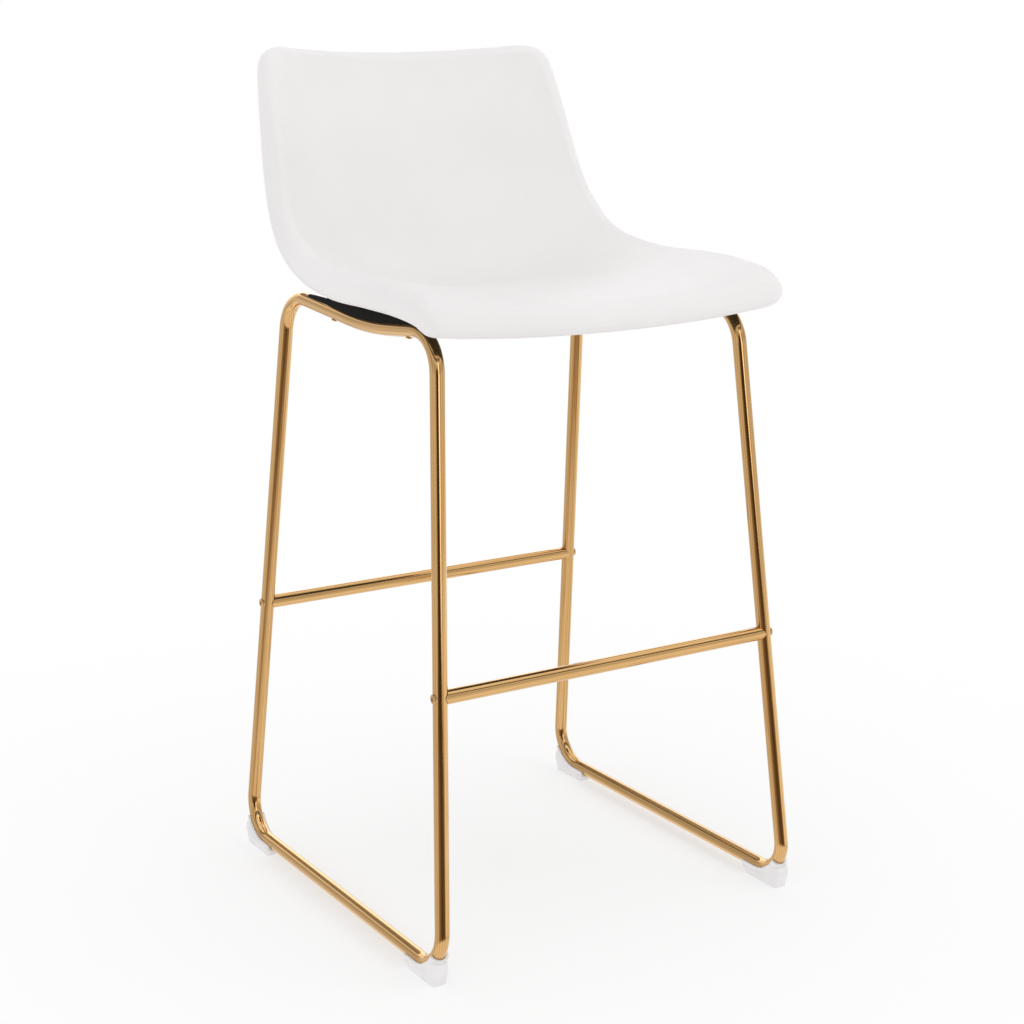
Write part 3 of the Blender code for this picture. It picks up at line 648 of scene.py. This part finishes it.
def coped_end(centre, side, leg_low, leg_high, radius):
    """A ring round the bar's end where its wall meets the leg's surface, with a hairline gap."""
    reach = TUBE_RADIUS + GAP
    axis = (leg_high - leg_low).normalized()
    ring = []
    for over, along in circle(radius):
        start = Vector((0, centre.y + over, centre.z + along)) - leg_low
        inward = Vector((-side, 0, 0))
        start.x = centre.x - leg_low.x
        # |start + t inward| across the leg's axis equals reach
        a = inward - axis * inward.dot(axis)
        b = start - axis * start.dot(axis)
        half, rest = a.dot(b), b.dot(b) - reach * reach
        root = max(half * half - a.dot(a) * rest, 0.0)
        t = (-half + sqrt(root)) / a.dot(a)
        ring.append(leg_low + start + inward * t)
    return ring


BAR_LIP = 0.0003
BAR_LIP_INSET = 0.0004
BAR_STATIONS = (-0.18, 0, 0.18)


def foot_bar(name, node, corner, shoulder, height):
    at = leg_point(corner, shoulder, height)
    radii = (TUBE_RADIUS - BAR_LIP, TUBE_RADIUS, TUBE_RADIUS - TUBE_WALL)
    ends = {}
    for side in (-1, 1):
        low, high = mirrored(corner, side), mirrored(shoulder, side)
        centre = mirrored(at, side)
        lip, outer_ring, inner_ring = (coped_end(centre, side, low, high, radius) for radius in radii)
        inset = Vector((-side * BAR_LIP_INSET, 0, 0))
        ends[side] = (lip, [point + inset for point in outer_ring], inner_ring)
    section = [(at.y + over, at.z + along) for over, along in circle(TUBE_RADIUS)]
    straight = [[Vector((x, y, z)) for y, z in section] for x in BAR_STATIONS]
    rings = [ends[-1][2], ends[-1][0], ends[-1][1], *straight, ends[1][1], ends[1][0], ends[1][2]]
    piece(name, mesh_from(name, *loft(rings, closed=True)), "polished_gold", node)


# ---- fasteners


def placed(points, origin, direction):
    """Points drawn about +Z, put at an origin with their +Z along a direction."""
    turn = Vector((0, 0, 1)).rotation_difference(direction)
    return [origin + turn @ Vector(point) for point in points]


HEAD_BEVEL = 0.0002
SHANK_BEVEL = 0.0003
DOME_STEPS = 8
THREAD_PITCH, THREAD_DEPTH = 0.001, 0.0004
THREAD_START, THREAD_SPARE = 0.0015, 0.003


def bolt_shape(length, head_radius=HEAD_RADIUS, head_height=HEAD_HEIGHT, socket_depth=SOCKET_DEPTH):
    """A button-head bolt with a hex socket, head underside at z = 0, shank running down."""

    def ring(radius, height):
        return [(x, y, height) for x, y in circle(radius, BOLT_SIDES)]

    def hexagon(radius, height):
        made = []
        for i in range(BOLT_SIDES):
            angle = 2 * pi * i / BOLT_SIDES
            within = (angle + pi / 6) % (pi / 3) - pi / 6
            reach = radius * cos(pi / 6) / cos(within)
            made.append((reach * cos(angle), reach * sin(angle), height))
        return made

    low = head_height - socket_depth
    rings = [hexagon(0.12 * SOCKET_RADIUS, low - 0.0003), hexagon(SOCKET_RADIUS, low)]
    rings += [hexagon(SOCKET_RADIUS, head_height - HEAD_BEVEL), hexagon(SOCKET_RADIUS * 1.06, head_height)]
    for step in range(DOME_STEPS + 1):
        turn = radians(90 * step / DOME_STEPS)
        rings.append(ring(head_radius * (0.56 + 0.44 * sin(turn)), head_height * (0.22 + 0.78 * cos(turn))))
    rings += [ring(head_radius, HEAD_BEVEL), ring(head_radius - HEAD_BEVEL, 0.0)]
    rings += [ring(SHANK_RADIUS + SHANK_BEVEL, 0.0), ring(SHANK_RADIUS, -SHANK_BEVEL)]
    for turn in range(int((length - THREAD_SPARE) / THREAD_PITCH)):
        top = -THREAD_START - turn * THREAD_PITCH
        rings += [ring(SHANK_RADIUS, top), ring(SHANK_RADIUS - THREAD_DEPTH, top - THREAD_PITCH / 2)]
    rings += [ring(SHANK_RADIUS * 0.75, -length)]
    return loft(rings, capped=True)


WASHER_RADIUS = HEAD_RADIUS + 0.0002
WASHER_SEAT = 0.00005
WASHER_BEVELS = 0.0001, 0.0002, 0.0003


def saddle_washer(centre, outward, axis):
    """A ring under a bolt's head whose lower side is shaped to the tube."""
    across = axis.cross(outward).normalized()
    outward = across.cross(axis).normalized()

    def ring(radius, lift, on_tube):
        made = []
        for along, over in circle(radius, BOLT_SIDES):
            level = sqrt(TUBE_RADIUS**2 - over**2) + WASHER_SEAT + lift if on_tube else HEAD_SEAT + lift
            made.append(centre + axis * along + across * over + outward * level)
        return made

    fine, small, large = WASHER_BEVELS
    outer = WASHER_RADIUS
    rings = [ring(CLEAR_RADIUS, 0, True), ring(outer - small, 0, True), ring(outer, large, True)]
    rings += [ring(outer, -large, False), ring(outer - large, -fine, False), ring(CLEAR_RADIUS, -fine, False)]
    return loft(rings, closed=True)


def bar_joint(end, word, at, side, corner, shoulder):
    outward = Vector((side, 0, 0))
    name = f"{end}_bar_{word}"
    points, faces = bolt_shape(BAR_BOLT_LENGTH)
    bolt = placed(points, at + outward * HEAD_SEAT, outward), faces
    piece(f"bolt_{name}", mesh_from(name, *bolt), "gold_bolt", f"{name}_bolt", smooth_angle=32)
    axis = (mirrored(shoulder, side) - mirrored(corner, side)).normalized()
    washer = saddle_washer(at, outward, axis)
    piece(f"washer_{name}", mesh_from(f"washer_{name}", *washer), "gold_bolt", smooth_angle=32)


# ---- feet

FOOT_SIDE = (
    (0.1786, 0.0),
    (0.2372, 0.0),
    (0.2396, 0.0115),
    (0.2414, 0.0165),
    (0.2402, 0.0250),
    (0.2330, 0.0285),
    (0.2150, 0.0165),
    (0.1950, 0.0110),
    (0.1740, 0.0080),
)
FOOT_LOW_HALF, FOOT_HIGH_HALF = 0.0088, 0.0098
FOOT_CORNER = 0.0042
CUP_WALL = 0.0030
CUP_HALF_ANGLE = 85
CUP_TOP = 0.0368
CUP_START, CUP_FROM = 0.1745, 0.18
CUP_STEPS = 14
BODY_STEPS = 10
BODY_TAPER_TOP = 0.014
BODY_BEVEL, BODY_BEVEL_SEGMENTS, BODY_BEVEL_ANGLE = 0.0011, 4, 35


def applied(obj):
    """Swaps the object's mesh for its evaluated one and drops its modifiers."""
    graph = bpy.context.evaluated_depsgraph_get()
    mesh = bpy.data.meshes.new_from_object(obj.evaluated_get(graph))
    obj.modifiers.clear()
    obj.data = mesh
    return obj


def foot_body(side, sign):
    """The side outline carried across the foot's width, its four upright edges well rounded."""
    middle_y = (FOOT_SIDE[0][0] + FOOT_SIDE[1][0]) / 2
    rings = []
    for step in range(-BODY_STEPS, BODY_STEPS + 1):
        share = sin(radians(90 * step / BODY_STEPS))
        ring = []
        for y, z in FOOT_SIDE:
            half = FOOT_LOW_HALF + (FOOT_HIGH_HALF - FOOT_LOW_HALF) * min(z / BODY_TAPER_TOP, 1.0)
            over = max(0.0, abs(share) * half - (half - FOOT_CORNER))
            pull = FOOT_CORNER - sqrt(max(0.0, FOOT_CORNER**2 - over**2))
            eased_y = y - pull if y > middle_y else y + pull
            ring.append(Vector((side * BASE_HALF_WIDTH + share * half, sign * eased_y, z)))
        rings.append(ring)
    return loft(rings, capped=True)


def foot_cup(side, sign):
    """The cup that follows the tube from the runner up round the bend."""
    path = [point for point in frame_path(side) if sign * point.y > CUP_FROM and point.z < CUP_TOP]
    path.sort(key=lambda point: sign * point.y + point.z)
    path.insert(0, Vector((side * BASE_HALF_WIDTH, sign * CUP_START, RUNNER_HEIGHT)))
    bend_start = BASE_HALF_DEPTH - FOOT_BEND
    hub = Vector((side * BASE_HALF_WIDTH, sign * bend_start, RUNNER_HEIGHT + FOOT_BEND))
    rings = []
    for point in path:
        inward = (hub - point).normalized() if sign * point.y > bend_start else Vector((0, 0, 1))
        ring = []
        for radius, turning in ((TUBE_RADIUS + CUP_WALL, 1), (TUBE_RADIUS - 0.001, -1)):
            for step in range(-CUP_STEPS, CUP_STEPS + 1):
                turn = radians(CUP_HALF_ANGLE * turning * step / CUP_STEPS)
                ring.append(point - inward * cos(turn) * radius + Vector((sin(turn) * radius, 0, 0)))
        rings.append(ring)
    return loft(rings, capped=True)


def foot_glide(end, word, side, sign):
    """A moulded glide: a tapered body and a wider cup round the tube, grooved by the tube itself."""
    name = f"foot_{end}_{word}"
    clearance = swept(frame_path(side), circle(TUBE_RADIUS + GAP), closed=True)
    cutter = link(bpy.data.objects.new("foot_cutter", mesh_from("foot_cutter", *clearance)))
    obj = link(bpy.data.objects.new(name, mesh_from(name, *foot_body(side, sign))))
    bevel = obj.modifiers.new("Bevel", "BEVEL")
    bevel.width, bevel.segments, bevel.limit_method = BODY_BEVEL, BODY_BEVEL_SEGMENTS, "ANGLE"
    bevel.angle_limit = radians(BODY_BEVEL_ANGLE)
    applied(obj)
    cup = link(bpy.data.objects.new("foot_cup", mesh_from("foot_cup", *foot_cup(side, sign))))
    for other, how in ((cup, "UNION"), (cutter, "DIFFERENCE")):
        boolean = obj.modifiers.new(how, "BOOLEAN")
        boolean.operation, boolean.solver, boolean.object = how, "EXACT", other
    applied(obj)
    mesh = obj.data
    for helper in (cup, cutter, obj):
        bpy.data.objects.remove(helper, do_unlink=True)
    piece(name, mesh, "white_plastic", f"foot_glide_{end}_{word}", smooth_angle=38)


# ---- seat surface


def catmull_rom(stations, t):
    points = np.array(stations, float)
    ends = np.vstack([2 * points[0] - points[1], points, 2 * points[-1] - points[-2]])
    index = np.clip(np.floor(t).astype(int), 0, len(points) - 2)
    f = (t - index)[:, None]
    a, b, c, d = (ends[index + step] for step in range(4))
    return 0.5 * (2 * b + (c - a) * f + (2 * a - 5 * b + 4 * c - d) * f**2 + (3 * b - a - 3 * c + d) * f**3)


def even_stations():
    t = np.linspace(0, len(CENTRE_LINE) - 1, 201)
    lines = (catmull_rom(line, t) for line in (CENTRE_LINE, SIDE_LINE))
    steps = [np.linalg.norm(np.diff(points, axis=0), axis=1) for points in lines]
    length = np.concatenate([[0.0], np.cumsum(steps[0] + steps[1])])
    return length / length[-1], t


STATION_TABLE = even_stations()


def middle_surface(u, v):
    """The padded shell's middle surface: u is -1 to 1 across, v is 0 to 1 from the lip to the top."""
    u, v = np.broadcast_arrays(np.asarray(u, float), np.asarray(v, float))
    t = np.interp(v.ravel(), *STATION_TABLE)
    centre = catmull_rom(CENTRE_LINE, t).reshape(*v.shape, 2)
    edge = catmull_rom(SIDE_LINE, t).reshape(*v.shape, 3)
    rise = np.abs(u) ** DISH_POWER
    y = centre[..., 0] + (edge[..., 1] - centre[..., 0]) * rise
    z = centre[..., 1] + (edge[..., 2] - centre[..., 1]) * rise
    return np.stack([u * edge[..., 0], y, z], axis=-1)


def rounded_corners(u, v):
    ends = 2 * v - 1
    pull = (1 - 1 / sqrt(2)) * np.where(ends < 0, FRONT_CORNER, BACK_CORNER)
    across, along = pull / SEAT_HALF_WIDTH, pull / SEAT_HALF_LENGTH
    inner_u = u * (1 - across * np.abs(ends) ** (1 / along))
    inner_ends = ends * (1 - along * np.abs(u) ** (1 / across))
    return inner_u, (inner_ends + 1) / 2


def unit(vectors):
    return vectors / np.linalg.norm(vectors, axis=-1, keepdims=True)


def seat_points(u, v):
    """Points of the middle surface inside its rounded outline, and their normals on the sitter's side."""
    step = 1e-3
    u, v = rounded_corners(*np.broadcast_arrays(np.asarray(u, float), np.asarray(v, float)))
    low_v, high_v = np.clip(v - step, 0, 1), np.clip(v + step, 0, 1)
    across = middle_surface(u + step, v) - middle_surface(u - step, v)
    along = middle_surface(u, high_v) - middle_surface(u, low_v)
    return middle_surface(u, v), unit(np.cross(across, along))


def spread(count):
    """Even steps from 0 to 1 that draw closer together at both ends."""
    even = np.linspace(-1, 1, count + 1)
    return (1 + even * (1.42 - 0.42 * even**2)) / 2


class Sheet:
    """A grid over part of the seat, and the rim round it."""

    def __init__(self, v_values, front=True, back=True):
        self.front, self.back = front, back
        self.points, self.normals = seat_points(2 * spread(COLUMNS)[None, :] - 1, v_values[:, None])
        rows, last = len(v_values), COLUMNS
        right = [(row, last) for row in range(rows)]
        left = [(row, 0) for row in reversed(range(rows))]
        top = [(rows - 1, column) for column in range(last - 1, 0, -1)]
        lip = [(0, column) for column in range(1, last)]
        self.order = right + top + left if back else left + lip + right
        if front and back:
            self.order += lip
        self.edge = np.array([self.points[spot] for spot in self.order])
        self.edge_normals = np.array([self.normals[spot] for spot in self.order])
        after = unit(np.roll(self.edge, -1, axis=0) - self.edge)
        before = unit(self.edge - np.roll(self.edge, 1, axis=0))
        if not (front and back):
            before[0], after[-1] = after[0], before[-1]
        self.outward = unit(np.cross(before + after, self.edge_normals))

    def grid(self, depth):
        return self.points + self.normals * (ROLL_RADIUS - depth)

    def ring(self, out, depth):
        return self.edge + self.edge_normals * (ROLL_RADIUS - depth) + self.outward * out

    def closed_form(self, top_depth, rings, bottom_depth):
        """A closed mesh: top grid, rings round the rim, bottom grid. An open end is walled off."""
        rows, columns = self.points.shape[:2]
        top, bottom = self.grid(top_depth).reshape(-1, 3), self.grid(bottom_depth).reshape(-1, 3)
        points = [*top]
        count = len(self.order)
        faces = [
            (r * columns + c, r * columns + c + 1, (r + 1) * columns + c + 1, (r + 1) * columns + c)
            for r in range(rows - 1)
            for c in range(columns - 1)
        ]
        inner = [row * columns + column for row, column in self.order]
        loops = [inner]
        whole = self.front and self.back
        for out, depth in rings:
            outer = list(range(len(points), len(points) + count))
            points += list(self.ring(out, depth))
            loops.append(outer)
        start = len(points)
        points += [*bottom]
        loops.append([start + index for index in inner])
        for one, other in zip(loops, loops[1:]):
            for i in range(count if whole else count - 1):
                j = (i + 1) % count
                faces.append((one[i], one[j], other[j], other[i]))
        top_faces = faces[: (rows - 1) * (columns - 1)]
        faces += [tuple(start + index for index in reversed(face)) for face in top_faces]
        if not whole:
            row = rows - 1 if self.front else 0
            first = [row * columns + c for c in range(columns)]
            second = [start + index for index in first]
            faces += [(first[c], first[c + 1], second[c + 1], second[c]) for c in range(columns - 1)]
            for which in (0, -1):
                faces.append(tuple(loop[which] for loop in loops))
        return [tuple(point) for point in points], faces, loops


def roll_at(angle, radius=ROLL_RADIUS):
    """(out, depth) on the rim's half-round roll: 0 degrees is on top and 180 is underneath."""
    turn = radians(angle)
    return radius * sin(turn), ROLL_RADIUS - radius * cos(turn)


def rail_point(side, y):
    """The point of a top rail's centre line at this y."""
    top = [point for point in frame_path(side) if point.z > 0.9 * SADDLE.z]
    top.sort(key=lambda point: point.y)
    for one, other in zip(top, top[1:]):
        if one.y <= y <= other.y:
            return one.lerp(other, (y - one.y) / (other.y - one.y))
    raise ValueError("no rail there")


SPOTS_EACH_WAY = 401
SPOT_STEPS = np.linspace(0, 1, SPOTS_EACH_WAY)[:, None]
SEAT_SPOTS = middle_surface(np.linspace(-1, 1, SPOTS_EACH_WAY)[None, :], SPOT_STEPS).reshape(-1, 3)


def nearest_on_seat(point):
    """The middle surface's nearest spot, and the direction towards it."""
    nearest = Vector(SEAT_SPOTS[np.argmin(np.sum((SEAT_SPOTS - np.array(point)) ** 2, axis=1))])
    return nearest, (nearest - point).normalized()


# ---- upholstery

PAD_INSET = 0.0010
PAD_CAP, PAD_GIVE, PAD_LEAST = 0.0024, 0.1, -0.0002
PAD_LIFT = 0.0004
PAD_INNER_WALL = ((0.0032, 0.0285), (0.0012, 0.0225))
CLOTH_FRAMES = 20
CLOTH = {
    "quality": 6,
    "mass": 0.25,
    "tension_stiffness": 18,
    "compression_stiffness": 18,
    "shear_stiffness": 10,
    "bending_stiffness": 1.2,
    "use_pressure": True,
    "uniform_pressure_force": 4.0,
}


def inflate(obj, held):
    """Cloth under pressure, with the held points pinned and every other point's move capped."""
    scene = bpy.context.scene
    group = obj.vertex_groups.new(name="held")
    group.add(held, 1.0, "REPLACE")
    cloth = obj.modifiers.new("Cloth", "CLOTH")
    settings = cloth.settings
    for name, value in CLOTH.items():
        setattr(settings, name, value)
    settings.vertex_group_mass = group.name
    settings.effector_weights.gravity = 0
    cloth.collision_settings.use_collision = False
    cloth.point_cache.frame_start, cloth.point_cache.frame_end = 1, CLOTH_FRAMES
    start = np.empty(len(obj.data.vertices) * 3)
    obj.data.vertices.foreach_get("co", start)
    for number in range(1, CLOTH_FRAMES + 1):
        scene.frame_set(number)
    graph = bpy.context.evaluated_depsgraph_get()
    end = np.empty_like(start)
    obj.evaluated_get(graph).data.vertices.foreach_get("co", end)
    scene.frame_set(1)
    obj.modifiers.clear()
    normals = np.empty_like(start)
    obj.data.vertices.foreach_get("normal", normals)
    normals = normals.reshape(-1, 3)
    move = (end - start).reshape(-1, 3)
    outward = np.sum(move * normals, axis=1, keepdims=True)
    # Stuffing only pushes a cover out, so the pull inwards at the corners is held back
    pushed, pulled = PAD_CAP * np.tanh(outward / PAD_CAP), np.maximum(outward * PAD_GIVE, PAD_LEAST)
    outward = np.where(outward > 0, pushed, pulled)
    obj.data.vertices.foreach_set("co", start + (normals * outward).ravel())
    obj.data.update()


def seat_pad():
    """The front cover and its foam: a form over the board and round the rim, inflated and then subdivided."""
    sheet = Sheet(spread(ROWS))
    rings = []
    for step in range(1, ROLL_STEPS + 1):
        angle = SEAM_ANGLE * step / ROLL_STEPS
        eased = min(angle, 180 - angle * 180 / SEAM_ANGLE)
        rings.append(roll_at(angle, ROLL_RADIUS - PAD_INSET * sin(radians(eased))))
    rings += [roll_at(SEAM_ANGLE + 2, ROLL_RADIUS - SKIN - 2 * GAP), *PAD_INNER_WALL]
    points, faces, loops = sheet.closed_form(PAD_INSET, rings, BOARD_TOP - PAD_LIFT)
    mesh = mesh_from("seat_pad", points, faces)
    obj = piece("seat_pad", mesh, "white_faux_leather", "seat_cover", "seat_foam", smooth_angle=180)
    held = sorted({index for loop in loops[ROLL_STEPS:-1] for index in loop})
    held += range(len(points) - sheet.points[..., 0].size, len(points))
    inflate(obj, held)
    smoothing = obj.modifiers.new("Subdivision", "SUBSURF")
    smoothing.levels = smoothing.render_levels = 1
    applied(obj)
    obj.data.shade_smooth()


def under_cover(name, sheet, slot, node):
    """A thin cover over part of the seat's outer side, from rim to rim."""
    outer, inner = (roll_at(SEAM_ANGLE + 3, radius) for radius in (ROLL_RADIUS, ROLL_RADIUS - SKIN))
    points, faces, _ = sheet.closed_form(2 * ROLL_RADIUS - SKIN, [inner, outer], 2 * ROLL_RADIUS)
    piece(name, mesh_from(name, points, faces), slot, node, smooth_angle=50)


SPLIT_HALF_GAP = 0.0004


def back_panel():
    low = COVER_SPLIT + SPLIT_HALF_GAP
    sheet = Sheet(low + (1 - low) * spread(ROWS // 2), front=False)
    under_cover("back_panel", sheet, "white_faux_leather", "back_cover")


def dust_cloth():
    sheet = Sheet((COVER_SPLIT - SPLIT_HALF_GAP) * spread(ROWS // 2), back=False)
    under_cover("dust_cloth", sheet, "black_dust_cloth", "dust_cover")


STRIP_HALF_WIDTH = 0.0065
STRIP_FRONT, STRIP_FULL, STRIP_END = -0.140, 0.042, 0.089
STRIP_TAIL = ((0.0103, 0.052), (0.0100, 0.070), (TUBE_RADIUS + 0.0006, STRIP_END))
STRIP_EASE, STRIP_LEAST = 0.0009, 0.0002
STRIP_PROBE = 0.012
STRIP_STEPS = 4


def strip_height(base, upward, y):
    """The strip's height over the rail's centre line: up to the shell, then falling along its thin tail."""
    probe = base + upward * STRIP_PROBE
    nearest, _ = nearest_on_seat(probe)
    high = STRIP_PROBE + (nearest - probe).length - ROLL_RADIUS - GAP
    if y <= STRIP_FULL:
        return high
    heights, places = zip(*STRIP_TAIL)
    falling = np.interp(y, (STRIP_FULL, *places), (max(high, heights[0]), *heights))
    return min(high, float(falling))


def rail_strip(word, side):
    """The packing strip: it sits on the rail's round top, meets the shell above and runs out thin behind."""
    front, rear = (nearest_on_seat(rail_point(side, y))[1] for y in (FRONT_SEAT_BOLT_Y, REAR_SEAT_BOLT_Y))
    upward = (front + rear).normalized()
    across = upward.cross(Vector((0, 1, 0))).normalized()
    rings = []
    for y in [*np.linspace(STRIP_FRONT, STRIP_FULL, 34), *np.linspace(STRIP_FULL, STRIP_END, 14)[1:]]:
        under, over = [], []
        for step in range(-STRIP_STEPS, STRIP_STEPS + 1):
            offset = STRIP_HALF_WIDTH * sin(radians(90 * step / STRIP_STEPS))
            base = rail_point(side, y) + across * offset
            low = sqrt((TUBE_RADIUS + GAP) ** 2 - offset**2)
            ease = STRIP_EASE * (abs(offset) / STRIP_HALF_WIDTH) ** 6
            under.append(base + upward * low)
            over.append(base + upward * max(strip_height(base, upward, y) - ease, low + STRIP_LEAST))
        rings.append([*under, *reversed(over)])
    name = f"rail_strip_{word}"
    piece(name, mesh_from(name, *loft(rings, capped=True)), "black_plastic", f"seat_rail_pad_{word}")


WELT_RADIUS, WELT_SIDES = 0.0011, 12
STITCH_LENGTH, STITCH_STEP, STITCH_RADIUS = 0.0036, 0.0052, 0.00032
STAPLE_LENGTH, STAPLE_STEP, STAPLE_RADIUS = 0.0100, 0.0270, 0.00040


ROD_SIDES = 8


def rod(start, end, radius):
    """A straight wire with rounded ends, as points and faces."""
    along = (end - start).normalized()
    path = [start, start + along * radius * 0.6, end - along * radius * 0.6, end]
    scales = (0.5, 1.0, 1.0, 0.5)
    rings = []
    for point, (_, one, other), scale in zip(path, carried_frames(path, False), scales):
        rings.append([point + one * a + other * b for a, b in circle(radius * scale, ROD_SIDES)])
    return loft(rings, capped=True)


def along_loop(points, step, length):
    """Pairs of points a length apart, one pair every step along a closed loop."""
    loop = [Vector(point) for point in points]
    loop.append(loop[0])
    travelled = [0.0]
    for one, other in zip(loop, loop[1:]):
        travelled.append(travelled[-1] + (other - one).length)
    count = int(travelled[-1] / step)
    spots = np.array([tuple(point) for point in loop])

    def at(distance):
        distance %= travelled[-1]
        return Vector([np.interp(distance, travelled, spots[:, axis]) for axis in range(3)])

    starts = [index * travelled[-1] / count for index in range(count)]
    return [(at(start), at(start + length)) for start in starts]


def seam_work():
    """The welt in the seam under the rim, the stitches beside it and the dust cloth's staples."""
    sheet = Sheet(spread(ROWS))
    welt = [Vector(point) for point in sheet.ring(*roll_at(SEAM_ANGLE + 1.5, ROLL_RADIUS - 0.0002))]
    tube = swept(welt, circle(WELT_RADIUS, WELT_SIDES), closed=True)
    piece("seam_welt", mesh_from("seam_welt", *tube), "white_faux_leather", smooth_angle=60)
    split_y = seat_points(0.0, COVER_SPLIT)[0].ravel()[1]
    level = 2 * ROLL_RADIUS
    stitches = along_loop(sheet.ring(-0.0030, level + 0.0001), STITCH_STEP, STITCH_LENGTH)
    rods = [rod(one, other, STITCH_RADIUS) for one, other in stitches if one.y > split_y - 0.02]
    mesh = mesh_from("seam_stitches", *joined(rods))
    piece("seam_stitches", mesh, "white_faux_leather", look="stitch_thread", smooth_angle=60)
    staples = along_loop(sheet.ring(-0.0075, level + 0.0002), STAPLE_STEP, STAPLE_LENGTH)
    rods = [rod(one, other, STAPLE_RADIUS) for one, other in staples if one.y < split_y - 0.04]
    piece("dust_cloth_staples", mesh_from("staples", *joined(rods)), "zinc_steel", smooth_angle=60)


def dress_cad_nodes():
    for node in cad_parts.values():
        for material_slot in node.material_slots:
            name = material_slot.material.name if material_slot.material else ""
            found = next((slot for slot in LOOKS if slot in name), None)
            if found:
                material_slot.material = LOOKS[found]


def seat_fixing(end, word, side, y):
    rail = rail_point(side, y)
    middle, upward = nearest_on_seat(rail)
    reach = (middle - rail).length
    length = HEAD_SEAT + reach - (BOARD_TOP - ROLL_RADIUS) - SEAT_BOLT_SHORT
    points, faces = bolt_shape(length, SEAT_HEAD_RADIUS, SEAT_HEAD_HEIGHT, SEAT_SOCKET_DEPTH)
    bolt = placed(points, rail - upward * HEAD_SEAT, -upward), faces
    name = f"seat_{end}_{word}"
    piece(f"bolt_{name}", mesh_from(name, *bolt), "gold_bolt", f"{name}_bolt", smooth_angle=32)


def build():
    bars = (
        ("front", "footrest_bar", FRONT_FOOT, FRONT_SHOULDER, FRONT_BAR_HEIGHT),
        ("rear", "rear_stretcher", REAR_FOOT, REAR_SHOULDER, REAR_BAR_HEIGHT),
    )
    for side, word in ((-1, "left"), (1, "right")):
        side_frame(word, side)
        for end, _, corner, shoulder, height in bars:
            at = mirrored(leg_point(corner, shoulder, height), side)
            bar_joint(end, word, at, side, corner, shoulder)
        foot_glide("front", word, side, -1)
        foot_glide("rear", word, side, 1)
        seat_fixing("front", word, side, FRONT_SEAT_BOLT_Y)
        seat_fixing("rear", word, side, REAR_SEAT_BOLT_Y)
        rail_strip(word, side)
    for end, node, corner, shoulder, height in bars:
        foot_bar(f"{end}_foot_bar", node, corner, shoulder, height)
    seat_pad()
    back_panel()
    dust_cloth()
    seam_work()


add_studio()
dress_cad_nodes()
build()
